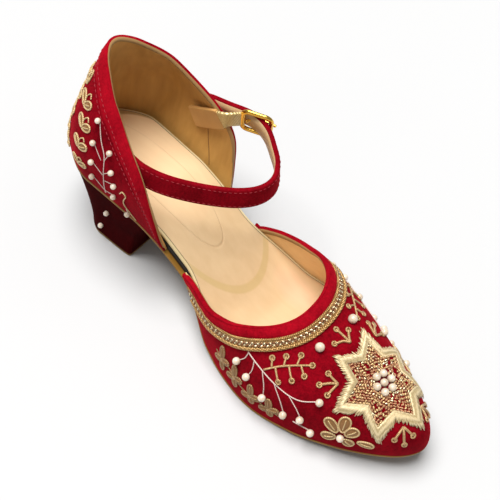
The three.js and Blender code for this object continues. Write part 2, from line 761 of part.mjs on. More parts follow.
// Tab: from inside the counter to the buckle's rear bar
function tabGeometry() {
  const { centre, long } = buckleAxes();
  const bar = centre.clone().addScaledVector(long, -BUCKLE_LONG / 2 - BUCKLE_WIRE - TAB_BACK - GAP);
  const lean = TAB_ROUTE[TAB_ROUTE.length - 1].lean;
  const route = [...TAB_ROUTE, { x: bar.x, y: bar.y, z: bar.z, lean }];
  return bandGeometry(route, TAB_WIDTH, TAB_THICK, TAB_STEPS);
}

function finish(name, geometry, colour, roughness, metalness = 0) {
  const plain = geometry.toNonIndexed();
  plain.computeVertexNormals();
  const material = new THREE.MeshStandardMaterial({ color: colour, roughness, metalness });
  const mesh = new THREE.Mesh(plain, material);
  mesh.name = name;
  return mesh;
}

const boardLow = OUTSOLE + GAP;
const sockLow = boardLow + BOARD + GAP;
const boardInset = COUNTER_WALL + GAP + BOARD_CLEAR;
const sockInset = COUNTER_WALL + GAP + SOCK_CLEAR;

const shoe = new THREE.Group();
shoe.add(finish('outsole', soleLayer(0, 0, OUTSOLE), 0x9a6a24, 0.6));
shoe.add(finish('insole_board', soleLayer(boardInset, boardLow, boardLow + BOARD), 0x17120f, 0.7));
shoe.add(finish('insole', soleLayer(sockInset, sockLow, sockLow + SOCK), 0xe9c896, 0.55));
shoe.add(finish('heel_block', heelBlockGeometry(), 0x4a0409, 0.9));
shoe.add(finish('heel_top_piece', topPieceGeometry(), 0x3a2a1a, 0.7));
shoe.add(finish('vamp', vampGeometry(), 0x9e0f1c, 0.85));
shoe.add(finish('counter', counterGeometry(), 0x9e0f1c, 0.85));
shoe.add(finish('throat_braid', braidGeometry(), 0xa67f56, 0.5));
shoe.add(finish('star_motif', starGeometry(), 0xd7c7a2, 0.5));
shoe.add(finish('ankle_strap', strapGeometry(), 0x8e0a16, 0.85));
shoe.add(finish('buckle_frame', buckleFrameGeometry(), 0xdba734, 0.25, 1));
shoe.add(finish('buckle_prong', buckleProngGeometry(), 0xdba734, 0.25, 1));
shoe.add(finish('buckle_tab', tabGeometry(), 0xb08a4a, 0.6));

// The origin lies on the floor under the middle of the shoe's box
const middle = new THREE.Box3().setFromObject(shoe).getCenter(new THREE.Vector3());
shoe.position.set(-middle.x, -middle.y, 0);

export default shoe;
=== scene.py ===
import math
import bpy
import numpy as np
from mathutils import Matrix, Vector


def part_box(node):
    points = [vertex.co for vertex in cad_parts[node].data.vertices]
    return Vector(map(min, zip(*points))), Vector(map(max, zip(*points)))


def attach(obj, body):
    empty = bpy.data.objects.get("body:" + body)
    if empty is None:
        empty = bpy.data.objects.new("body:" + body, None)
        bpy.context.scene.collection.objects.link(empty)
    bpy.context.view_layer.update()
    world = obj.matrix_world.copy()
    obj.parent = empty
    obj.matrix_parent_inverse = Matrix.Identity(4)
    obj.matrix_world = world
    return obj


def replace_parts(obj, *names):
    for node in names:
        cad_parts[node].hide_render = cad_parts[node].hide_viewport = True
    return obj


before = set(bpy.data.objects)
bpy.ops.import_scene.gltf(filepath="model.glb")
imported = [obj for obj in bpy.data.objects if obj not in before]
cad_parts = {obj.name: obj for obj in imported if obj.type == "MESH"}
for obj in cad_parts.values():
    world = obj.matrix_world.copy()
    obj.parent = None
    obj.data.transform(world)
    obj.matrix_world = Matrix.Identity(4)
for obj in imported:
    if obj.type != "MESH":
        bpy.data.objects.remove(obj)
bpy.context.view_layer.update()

# Last, in millimetres: X from the back of the heel to the toe, Y to the outer side of the left foot, Z up
MM = 0.001
LENGTH = 245.0
PLAN = {
    "x": [0, 2.9, 9.8, 27.4, 58.8, 93.1, 127.4, 158.8, 186.2, 208.7, 227.4, 240.1, LENGTH],
    "half": [0, 11.9, 20.3, 27.6, 27.0, 26.5, 37.8, 43.0, 38.0, 29.9, 20.0, 9.9, 0],
    "centre": [2.5, 2.5, 2.6, 3.2, 2.3, 2.7, -0.5, -4.0, -6.9, -8.2, -9.6, -10.6, -10.3],
}
TREAD = {
    "x": [0, 27, 59, 73.5, 93, 113, 127, 140, 163, 186, 209, 227, LENGTH],
    "z": [44.0, 42.1, 39.6, 34.7, 23.5, 11.3, 3.5, 0, 0, 1.9, 5.2, 9.0, 13.3],
}
CROWN = {
    "x": [78.4, 117.6, 142.1, 166.6, 191.1, 210.7, 227.4, 240.1, LENGTH],
    "height": [65.5, 61.1, 56.6, 48.7, 41.3, 33.8, 25.8, 15.2, 0],
}
TOPLINE = {
    "x": [0, 11.8, 27.4, 44.1, 58.8, 70.6, 81],
    "height": [73.2, 69.1, 61.4, 51.1, 40.9, 29.0, 4.2],
}
WALL = {
    "height": [0, 14.7, 29.4, 44.1, 58.8, 73.5],
    "swell": [1, 1.17, 1.25, 1.13, 0.875, 0.55],
    "lean": [0, 0.9, 3.4, 6.7, 9.8, 14.5],
    "aside": [0, -0.1, -0.4, -0.7, -0.8, -0.7],
}
FEATHER = 2.2
SIDE_POWER = 2.71
TOP_POWER = 2.23
CROWN_SHIFT = -6.0
CROWN_SHIFT_HALF = 29.4

# Upper
VAMP_REAR = {"inner": 95.5, "outer": 92.0}
VAMP_REAR_LIFT = 0.012
VAMP_OUTER_END = 0.972
THROAT_FRONT = 162.9
THROAT_POWER = {"inner": 2.28, "outer": 2.4}
THROAT_LEAN = -0.03
VAMP_WALL = 1.8
VAMP_VELVET = 0.9
COUNTER_FRONT = 81
COUNTER_WALL = 2.2
COUNTER_VELVET = 1.1
LINING_GAP = 0.05
RIM_CLEAR = 0.5
BINDING = 5.6
BINDING_RISE = 1.25
BINDING_LAP = 0.6
BINDING_INSIDE = 2.0
BRAID = 6.8
COLLAR = 8.0
COLLAR_RISE = 0.7
COLLAR_LAP = 0.8
COLLAR_INSIDE = 1.4
COLLAR_ROLL = 0.9
COLLAR_SHARE = 0.4
EDGE_FOOT = 0.35
EDGE_PROBE = np.array([-0.4, 0.0, 0.4])[:, None]
LIP_ROW = {"throat": 20, "collar": 18}
SEAM = {"low": 4, "high": 22, "foot_x": 67.2, "slant": 0.5, "radius": 0.3}
PATH_SAMPLES = 64

# Sole layers and heel
OUTSOLE = 1.8
OUTSOLE_ROUND = 0.6
BOARD_INSET = 2.4
BOARD_LOW = OUTSOLE + 0.3
BOARD_TOP = 5.9
BOARD_ROUND = 0.3
SOCK_INSET = 2.6
SOCK_LOW = 6.2
SOCK_TOP = 8.4
SOCK_ROUND = 0.7
SOCK_SHEET = 0.8
SOCK_RIM_WIDE = 1.5
SOCK_GROOVE = [(-0.22, -0.1), (-0.2, 0.02), (0.12, 0.02), (0.14, -0.1)]
HEEL_FRONT = 66.0
HEEL_FOOT = {"back": 19.0, "front": 57.5, "scale": 0.885}
HEEL_INSET = 0.5
HEEL_FLARE = 1.5
HEEL_EASE_PASSES = 6
HEEL_SEAT_GAP = 0.2
HEEL_LIFT_GAP = 0.15
TOP_PIECE_HIGH = 2.4
TOP_PIECE_PROFILE = [
    (0.0, 0.0), (0.955, 0.0), (0.985, 0.5),
    (0.985, TOP_PIECE_HIGH - 0.3), (0.96, TOP_PIECE_HIGH), (0.0, TOP_PIECE_HIGH),
]

# Ovals on the sock: middle along the foot, half length, half width, power, middle across
SOCK_PAD = (44, 40, 19, 2.4, 0.0)
SOCK_REAR = (60, 50.5, 27.5, 2.4, 0.0)
SOCK_BLUSH = (141, 20, 10, 2.0, 23)
SOCK_BAND = (70.1, 51.5, 32.6, 2.0, 5.7)
SOCK_PRESSED = (52, 46, 13.0, 2.2, 0.0)

# Along the sock: where the rear shade ends, and start and length of two fades: the ball band's, and that of
# the painted light on the sock's heel end
SOCK_REAR_END = 46.0
SOCK_BAND_START = (86, 12)
SOCK_PAINTED_LIGHT_FROM = (92, -56)

# Strap, buckle and tab. A route gives x, y, z and the lean in degrees
STRAP_ROUTE = np.array([
    (50, -25.4, 82.5, 12), (62, -25.5, 81.5, 10), (74, -20.5, 78.8, 9), (88, -9.5, 74.8, 9),
    (100.5, 3, 71.7, 9), (107.2, 14, 70.3, 9), (108.4, 23.8, 70.6, 9), (104.2, 31.6, 73.0, 9),
    (96.4, 36.9, 77.0, 9), (88, 40.4, 80.9, 9), (78, 41.2, 82.2, 10), (64, 39.4, 79.6, 10),
    (47, 38.6, 75, 9),
])
STRAP_STATIONS = 220
STRAP_WIDTH = 12.5
STRAP_THICK = 2.4
STRAP_SWELL = 0.35
STRAP_POINT = 0.95
STRAP_BACK_HALF = 5.5
STRAP_BACK_CORNERS = [(-1, 0.1), (1, 0.1), (1, -0.12), (-1, -0.12)]
STRAP_STITCH_IN = 1.7
STITCH = {"long": 1.7, "pitch": 2.7, "radius": 0.19, "start": 0.6}
BUCKLE_AT = 0.808
BUCKLE_LONG = 15.0
BUCKLE_WIDE = 16.2
BUCKLE_ROUND = 3.5
BUCKLE_WIRE = 1.25
BUCKLE_FLAT = (1.12, 0.95)
BUCKLE_TIP = math.radians(24)
BUCKLE_SINK = 0.5
PRONG_WIRE = 0.8
TAB_ROUTE = [(49, 31, 69, -3), (58, 30.5, 75, -4), (68.4, 30.7, 82.2, -6)]
TAB_END_LEAN = -6
TAB_STATIONS = 90
TAB_WIDTH = 11.0
TAB_THICK = 1.5
TAB_COVER = 0.60
TAB_COVER_WIDER = 1.4
TAB_COVER_THICKER = 0.5
SMALL_GAP = 0.3

# Braid: distance from the binding and radius of each cord, and distance of each row of beads
BRAID_CORDS = [(0.75, 0.8), (1.95, 0.5), (BRAID - 2.45, 0.55), (BRAID - 1.0, 1.05)]
BRAID_ROWS = [BRAID / 2 - 0.85, BRAID / 2 + 0.42]
BRAID_BEAD = {"long": 1.65, "radius": 0.66, "step": 1.55, "lift": 0.62, "slant": 0.75}
BRAID_CLEAR = 0.9
BRAID_BASE_LIFT = 0.2
# Rows of stitches on the counter: distance from the topline and height over the velvet
COLLAR_STITCHES = [(COLLAR - 2.4, 0.62), (COLLAR + 1.6, 0.06)]
STITCH_CLEAR = 2.5

# Star: angle and distance of each point from its middle
STAR_TIPS = {
    "turn": np.radians([0, 56, 106, 153, 202, 250, 301.5]),
    "reach": np.array([28.3, 29.8, 30.4, 29.6, 28.5, 31.2, 29.6]),
}
STAR_NOTCH = 19.0
STAR_CENTRE = (212.0, 0.51)
STAR_BORDER = 0.725
STAR_STRAND = 0.27 * np.array([0.7, 1, 1, 1, 1, 0.9, 0.5])
STAR_LAYER_STEPS = (0.36, 0.70)
STAR_EDGE = 0.99
STAR_FRINGE = (-0.045, 0.05)
STAR_LIFT = {"foot": 0.15, "bow": 1.0, "layer": 0.10}
STAR_BEAD_ROWS = (0.69, 0.615, 0.54, 0.465, 0.39, 0.315, 0.24)
STAR_BEAD = {
    "step": 1.9, "radius": 0.6, "lift": 0.45, "shortest": 1.5, "longest": 2.2,
    "bare": 0.05, "copper": 0.42, "gold": 0.84,
}
STAR_PEARL_RING = 4.7
STAR_PEARL_LIFT = 1.4
RANDOM = np.random.default_rng(7)

# Places on the vamp: distance from the back of the heel, and share of the way across
SPRAY_STEM = [(152, 0.219), (162.7, 0.214), (173, 0.204), (180.8, 0.2), (187, 0.214), (194.3, 0.264)]
SPRAY_PEARLS = [(149.1, 0.15), (157.3, 0.137), (169, 0.112), (181.8, 0.093), (190.3, 0.12), (197.1, 0.067)]
SPRAY_FORKS = [(152.5, 0.218), (157, 0.216), (163, 0.213), (171, 0.206), (180, 0.2), (187.3, 0.077)]
LOOSE_PEARLS = [(178.5, 0.449), (180.3, 0.583)]
SPRIG_STEM = [(163.3, 0.224), (169, 0.285), (175.5, 0.338), (181.4, 0.381)]
SPRIG_FORKS = [
    ((166, 0.258), (163.8, 0.289)), ((170.5, 0.3), (168.9, 0.336)), ((175.5, 0.338), (174.2, 0.381)),
    ((167.5, 0.27), (172.5, 0.225)), ((172.5, 0.315), (177.7, 0.27)), ((177, 0.35), (181.4, 0.322)),
]
NOTCH_SPRIGS = [
    ((196.1, 0.391), [(189.6, 0.399), (189.5, 0.334), (195.4, 0.316)]),
    ((187.4, 0.518), [(178.3, 0.513), (182.6, 0.543), (182.4, 0.492)]),
    ((232.1, 0.401), [(232.2, 0.242), (237.0, 0.222), (237.8, 0.381)]),
    ((193.5, 0.645), [(186.5, 0.66), (188.5, 0.7), (194.5, 0.715)]),
    ((232.1, 0.62), [(232.5, 0.77), (237, 0.78), (237.8, 0.63)]),
]
FLOWER_PEARL = (210.7, 0.114)
FLOWER_PETALS = [(203.6, 0.179), (204.6, 0.085), (209.3, 0.225), (214.8, 0.185), (215.2, 0.078)]
FLOWER_SPAN = (0.36, 1.38)
FLOWER_LEAF = ((218.5, 0.112), (226.0, 0.098))
CHAIN_FLOWERS = [(139.7, 0.068), (150.5, 0.066), (162.5, 0.062), (174.0, 0.066)]
CHAIN_STEM = [(134, 0.07), (145, 0.074), (156, 0.06), (168, 0.068), (183, 0.055)]
CHAIN_PETAL = (5.4, 0.056)

# Places on the counter: distance from the back of the heel along the sole, and height up the wall
COUNTER_STEM = [(26.0, 51.2), (31.5, 44.0), (37.7, 36.6), (41.0, 24.5), (42.1, 6.5)]
COUNTER_PEARLS = [
    (24.7, 51.8), (28.4, 40.6), (38.7, 42.2), (32.4, 29.4), (44.7, 33),
    (34, 15.5), (48.6, 24.7), (48.8, 12.4), (57.1, 3.0),
]
COUNTER_FORKS = [
    (36.5, 34.5), (38.2, 36.1), (40.3, 25), (40.5, 26.5), (41.9, 9), (41.2, 20), (42, 9), (56.5, 8),
]
COUNTER_LEAVES = [(12.1, 48.8), (18.3, 41.0), (21.9, 30.8), (24.0, 15.6)]
BACK_LEAVES = [(2.6, 53.5), (3.4, 43.5), (4.4, 33.5), (6.0, 23.0), (9.0, 12.0)]
TOP_LOOP = ((5.9, 54.0), (5.2, 61.5))
COUNTER_LOOP = [
    (52.6, 21.0), (54.0, 24.6), (56.4, 22.6), (55.4, 17.0), (55.6, 12.0), (58.5, 8.0), (62.5, 3.0),
]
LEAF_LONG = 6.4
LEAF_TURNS = np.radians([-58, 50])
LEAF_CURL = [(0, 0), (-1.2, 4), (0.4, 7), (2.2, 5.6)]
LEAF_SIZE = 0.98
BACK_LEAF_SIZE = 0.80
BACK_LEAF_LIFT = 0.25
HEEL_PEARLS = [(40.4, 0.62), (36.2, 0.20)]
HEEL_PEARL_OUT = 0.9

# Couched cords: radius, height of the middle over the velvet, share of the radius at the end, points
CORDS = {
    "spray_stem": (0.34, 0.25, 0.8, 60),
    "spray_fork": (0.27, 0.2, 1.0, 24),
    "sprig_stem": (0.55, 0.4, 1.0, 24),
    "sprig_fork": (0.58, 0.4, 0.9, 8),
    "notch_sprig": (0.72, 0.5, 0.95, 12),
    "chain_stem": (0.3, 0.2, 1.0, 50),
    "counter_stem": (0.25, 0.2, 1.0, 50),
    "counter_fork": (0.2, 0.18, 1.0, 10),
    "counter_loop": (0.4, 0.3, 0.8, 60),
    "leaf_curl": (0.34, 0.3, 1.0, 24),
}
PEARL_RADIUS = {"spray": 2.05, "flower": 2.0, "loose": 2.5, "counter": 1.6, "heel": 1.6, "star": 2.1}
SEQUIN_RADIUS = {"sprig": 1.2, "notch": 1.2, "chain": 0.7}
SEQUIN_LIFT = 0.5
SEQUIN_BEAD = {"lift": 0.35, "share": 0.55, "squash": 0.6}
PEARL_SEAT = 0.72
PETAL_HALF = {"flower": 3.1, "flower_leaf": 2.3, "chain": 1.85, "leaf": 2.2, "top_loop": 1.5}
EDGE_CORD = 0.48
EDGE_LIFT = 0.45
RIB_CORD = 0.3
RIB_LIFT = 0.35
PETAL_LIFT = 0.25
PETAL_PAD = 0.75
PETAL_MIDDLE = 0.56
SIDES = {"_inner": -1, "_outer": 1}

# Camera, in the last's frame
CAMERA_PLACE = np.array([285.5, -326.0, 546.9])
CAMERA_AIM = np.array([111.5, 10.6, 30.0])
CAMERA_ROLL = 14.4
LENS_MM = 87.7
SENSOR_MM = 36.0

# Studio, in metres
FLOOR_REACH = 6.0
LIGHT_AIM = (0.0, 0.0, 0.03)
KEY = {"place": (-0.24, -0.14, 1.20), "power": 4.6, "colour": (1.0, 0.99, 0.978)}
KEY_SPREAD = math.radians(38.0)
FRONT = {"place": (0.10, -0.75, 0.95), "power": 0.8, "colour": (1.0, 0.985, 0.96)}
FRONT_SIZE = 0.8
SKY = (0.985, 0.992, 1.0)
SKY_STRENGTH = 0.26


# Shape of the last


def monotone(xs, ys):
    """Monotone cubic through points, held at its end values beyond them."""
    xs = np.asarray(xs, float)
    ys = np.asarray(ys, float)
    step = np.diff(xs)
    rise = np.diff(ys) / step
    slope = np.zeros_like(xs)
    before = 2 * step[1:] + step[:-1]
    after = step[1:] + 2 * step[:-1]
    same = rise[:-1] * rise[1:] > 0
    inner = (before + after) / (before / np.where(same, rise[:-1], 1) + after / np.where(same, rise[1:], 1))
    slope[1:-1] = np.where(same, inner, 0)
    slope[0] = end_slope(step[0], step[1], rise[0], rise[1])
    slope[-1] = end_slope(step[-1], step[-2], rise[-1], rise[-2])

    def at(x):
        x = np.clip(x, xs[0], xs[-1])
        i = np.clip(np.searchsorted(xs, x) - 1, 0, len(xs) - 2)
        h = step[i]
        s = (x - xs[i]) / h
        start = (1 + 2 * s) * (1 - s) ** 2 * ys[i] + s * (1 - s) ** 2 * h * slope[i]
        end = s * s * (3 - 2 * s) * ys[i + 1] + s * s * (s - 1) * h * slope[i + 1]
        return start + end

    return at


def end_slope(near, far, first, second):
    slope = ((2 * near + far) * first - near * second) / (near + far)
    if slope * first <= 0:
        return 0.0
    if first * second <= 0 and abs(slope) > 3 * abs(first):
        return 3 * first
    return slope


def station_angle(x):
    return np.arccos(np.clip(1 - 2 * np.asarray(x, float) / LENGTH, -1, 1))


def station_x(angle):
    return LENGTH * (1 - np.cos(angle)) / 2


def by_station(xs, ys):
    """A table along the foot whose curve runs in the station's angle, so that both ends come out round."""
    table = monotone(station_angle(xs), ys)
    return lambda x: table(station_angle(x))


half_width = by_station(PLAN["x"], PLAN["half"])
centre_line = by_station(PLAN["x"], PLAN["centre"])
crown = by_station(CROWN["x"], CROWN["height"])
tread = monotone(TREAD["x"], TREAD["z"])
topline = monotone(TOPLINE["x"], TOPLINE["height"])
swell, lean, aside = (monotone(WALL["height"], WALL[key]) for key in ("swell", "lean", "aside"))


def unit(v):
    return v / np.maximum(np.linalg.norm(v, axis=-1, keepdims=True), 1e-12)


def signed_power(value, power):
    return np.sign(value) * np.abs(value) ** power


def vamp_point(x, across):
    """Outer surface of the vamp: across is 0 on the inner side's feather line and 1 on the outer side's."""
    angle = np.pi * across
    half = half_width(x)
    side = signed_power(np.cos(angle), 2 / SIDE_POWER)
    rise = np.abs(np.sin(angle)) ** (2 / TOP_POWER)
    shift = CROWN_SHIFT * rise * np.minimum(1, half / CROWN_SHIFT_HALF)
    y = centre_line(x) - half * side + shift
    return np.stack([x + 0 * rise, y, tread(x) + FEATHER + crown(x) * rise], -1)


def counter_point(x, height, side):
    """Outer surface of the counter: side is -1 on the inner side and 1 on the outer side."""
    y = centre_line(x) + side * half_width(x) * swell(height) + aside(height)
    return np.stack([x + lean(height), y, tread(x) + FEATHER + height], -1)


def counter_station(along):
    """Place along the foot: along runs from -1 on the inner side, round the heel, to 1 on the outer side."""
    return COUNTER_FRONT * (1 - np.cos(np.pi * along)) / 2


def counter_rows(along, drop):
    """Points of the counter at distances below its topline."""
    x = counter_station(along)
    return counter_point(x, np.maximum(topline(x) - drop, 0), np.sign(along))


def vamp_direction(x, across):
    angle = station_angle(x)
    turn = np.pi * across
    flat = np.sin(angle)
    return np.stack([-np.cos(angle), -flat * np.cos(turn), flat * np.sin(turn)], -1)


def vamp_place(direction):
    d = unit(direction)
    x = station_x(np.arccos(np.clip(-d[..., 0], -1, 1)))
    return x, np.arctan2(np.maximum(d[..., 2], 0), -d[..., 1]) / np.pi


def vamp_rear(along):
    """Where the vamp starts along the foot: a little further back on the outer side."""
    return VAMP_REAR["inner"] + (VAMP_REAR["outer"] - VAMP_REAR["inner"]) * along


def throat_direction(along):
    angle = np.pi * along
    power = 2 / np.where(along < 0.5, THROAT_POWER["inner"], THROAT_POWER["outer"])
    forward = np.abs(np.sin(angle)) ** power
    side = signed_power(np.cos(angle), power) + THROAT_LEAN * forward
    across = np.arccos(signed_power(np.clip(side, -1, 1), SIDE_POWER / 2)) / np.pi
    rear = vamp_rear(along)
    x = rear + (THROAT_FRONT - rear) * forward
    return vamp_direction(x, np.clip(across, VAMP_REAR_LIFT, 1 - VAMP_REAR_LIFT))


def rim_direction(along):
    turn = (np.pi - station_angle(vamp_rear(along))) * (2 * along - 1)
    return np.stack([np.cos(turn), np.sin(turn), 0 * turn], -1)


class VampLines:
    """Lines over the vamp from the throat down to the rim, measured along the surface."""

    def __init__(self, along):
        self.top = throat_direction(along)
        self.rim = rim_direction(along)
        self.shares = np.linspace(0, 1, PATH_SAMPLES + 1)
        points = vamp_point(*vamp_place(self.blend(self.shares[:, None] + 0 * along)))
        steps = np.linalg.norm(np.diff(points, axis=0), axis=-1)
        self.reach = np.vstack([0 * along, np.cumsum(steps, axis=0)])
        self.total = self.reach[-1]
        self.bind = np.minimum(1, (self.total - RIM_CLEAR) / BINDING)

    def blend(self, share):
        return self.top * (1 - share[..., None]) + self.rim * share[..., None]

    def points(self, distance):
        columns = range(distance.shape[1])
        share = np.stack([np.interp(distance[:, c], self.reach[:, c], self.shares) for c in columns], 1)
        return vamp_point(*vamp_place(self.blend(share)))


def grid_normals(points, face=1):
    return unit(np.cross(np.gradient(points, axis=0), np.gradient(points, axis=1))) * face


def surface_frame(point_at, u, v, du, dv):
    """Point and unit normal of a surface at u, v."""
    u = np.asarray(u, float)
    v = np.asarray(v, float)
    along = unit(point_at(u + du, v) - point_at(u - du, v))
    over = unit(point_at(u, v + dv) - point_at(u, v - dv))
    return point_at(u, v), unit(np.cross(along, over))


def vamp_frame(x, across):
    return surface_frame(vamp_point, x, across, 0.25, 0.003)


def counter_frame(x, height, side):
    point, normal = surface_frame(lambda u, v: counter_point(u, v, side), x, height, 0.25, 0.25)
    return point, normal * -side


def last_origin():
    """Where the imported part's origin lies in the last's frame."""
    low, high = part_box("outsole")
    x = station_x(np.linspace(0, np.pi, 721))
    side_low = (centre_line(x) - half_width(x)).min()
    side_high = (centre_line(x) + half_width(x)).max()
    middle = (LENGTH / 2, (side_low + side_high) / 2)
    return np.array([middle[k] - (low[k] + high[k]) / 2 / MM for k in (0, 1)] + [0.0])


ORIGIN = last_origin()


def to_scene(points):
    return (np.asarray(points, float) - ORIGIN) * MM


# Mesh making


def link(name, data):
    thing = bpy.data.objects.new(name, data)
    bpy.context.scene.collection.objects.link(thing)
    return thing


class Stock:
    """Vertices, faces and texture places gathered for one mesh."""

    def __init__(self):
        self.verts = []
        self.places = []
        self.faces = []
        self.count = 0

    def add(self, verts, faces, places=None):
        verts = np.asarray(verts, float).reshape(-1, 3)
        if places is None:
            places = np.zeros((len(verts), 2))
        self.verts.append(verts)
        self.places.append(np.asarray(places, float).reshape(-1, 2))
        self.faces.extend((np.asarray(block) + self.count).tolist() for block in faces if len(block))
        self.count += len(verts)

    def grid(self, points, flip=False, ring=False, places=None):
        rows, columns = points.shape[:2]
        self.add(points, [grid_faces(rows, columns, flip, ring)], places)
        return self

    def fan(self, ring, order):
        """Closes a ring with triangles about its middle."""
        count = len(ring)
        k = np.arange(count)
        faces = np.stack([np.full(count, count), k, (k + 1) % count], -1)
        self.add(np.vstack([ring, ring.mean(0)]), [faces[:, ::order]])

    def make(self, name, material, slot):
        mesh = bpy.data.meshes.new(name)
        faces = [face for block in self.faces for face in block]
        mesh.from_pydata(to_scene(np.vstack(self.verts)).tolist(), [], faces)
        layer = mesh.uv_layers.new(name="place")
        vertex = np.zeros(len(mesh.loops), dtype=np.int32)
        mesh.loops.foreach_get("vertex_index", vertex)
        layer.data.foreach_set("uv", np.vstack(self.places)[vertex].astype(np.float32).ravel())
        mesh.polygons.foreach_set("use_smooth", np.ones(len(mesh.polygons), dtype=bool))
        mesh.materials.append(material)
        mesh.update()
        piece = link(name, mesh)
        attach(piece, "root")
        return piece


def grid_faces(rows, columns, flip=False, ring=False):
    r = np.arange(rows - 1)[:, None]
    c = np.arange(columns if ring else columns - 1)[None, :]
    d = (c + 1) % columns
    corners = [r * columns + c, (r + 1) * columns + c, (r + 1) * columns + d, r * columns + d]
    quads = np.stack([np.broadcast_to(k, (rows - 1, c.shape[1])) for k in corners], -1).reshape(-1, 4)
    return quads[:, ::-1] if flip else quads


def shell(stock, outer, inner, places=None, flip=False):
    """A closed wall: an outer grid, an inner grid and the four strips between their edges."""
    rows, columns = outer.shape[:2]
    size = rows * columns
    index = np.arange(size).reshape(rows, columns)
    edge = np.concatenate([index[0, :-1], index[:-1, -1], index[-1, :0:-1], index[:0:-1, 0]])
    after = np.roll(edge, -1)
    strip = np.stack([edge, after, after + size, edge + size], -1)
    faces = [grid_faces(rows, columns), grid_faces(rows, columns, True) + size, strip]
    if flip:
        faces = [block[:, ::-1] for block in faces]
    if places is not None:
        places = np.concatenate([places.reshape(-1, 2)] * 2)
    stock.add(np.concatenate([outer.reshape(-1, 3), inner.reshape(-1, 3)]), faces, places)


def path_reach(path):
    """Distance of each point of a path from its start."""
    return np.concatenate([[0], np.cumsum(np.linalg.norm(np.diff(path, axis=0), axis=1))])


def along_path(spots, reach, values):
    return np.stack([np.interp(spots, reach, column) for column in values.T], -1)


def tube(stock, path, normals, width, height=None, sides=8, closed=False):
    """A round or flattened cord along a path, with its height along one normal or one for each point."""
    path = np.asarray(path, float)
    count = len(path)
    height = width if height is None else height
    if closed:
        along = unit(np.roll(path, -1, 0) - np.roll(path, 1, 0))
    else:
        along = unit(np.gradient(path, axis=0))
    side = unit(np.cross(along, normals))
    up = np.cross(side, along)
    turn = 2 * np.pi * np.arange(sides) / sides
    width, height = (np.broadcast_to(np.asarray(v, float), (count,))[:, None, None] for v in (width, height))
    ring = path[:, None] + side[:, None] * np.cos(turn)[None, :, None] * width
    ring = ring + up[:, None] * np.sin(turn)[None, :, None] * height
    reach = path_reach(path)
    places = np.stack(np.broadcast_arrays(reach[:, None], turn[None, :] / (2 * np.pi)), -1)
    total = count * sides
    if closed:
        stock.add(ring, [grid_faces(count + 1, sides, ring=True) % total], places)
        return
    last = total - sides
    k = np.arange(sides)
    j = (k + 1) % sides
    caps = [np.stack([np.full(sides, total), k, j], -1),
            np.stack([np.full(sides, total + 1), last + j, last + k], -1)]
    tips = np.array([[reach[0], 0.5], [reach[-1], 0.5]])
    stock.add(np.concatenate([ring.reshape(-1, 3), path[:1], path[-1:]]),
              [grid_faces(count, sides, ring=True), *caps],
              np.concatenate([places.reshape(-1, 2), tips]))


def smooth_path(knots, count):
    """A smooth curve through knots of any size, with the same number of points in each span."""
    knots = np.asarray(knots, float)
    padded = np.vstack([2 * knots[0] - knots[1], knots, 2 * knots[-1] - knots[-2]])
    place = np.linspace(0, len(knots) - 1, count)
    i = np.minimum(place.astype(int), len(knots) - 2)
    s = (place - i)[:, None]
    a, b, c, d = (padded[i + k] for k in range(4))
    bend = (2 * a - 5 * b + 4 * c - d) * s ** 2
    return 0.5 * (2 * b + (c - a) * s + bend + (3 * b - a - 3 * c + d) * s ** 3)


# Materials


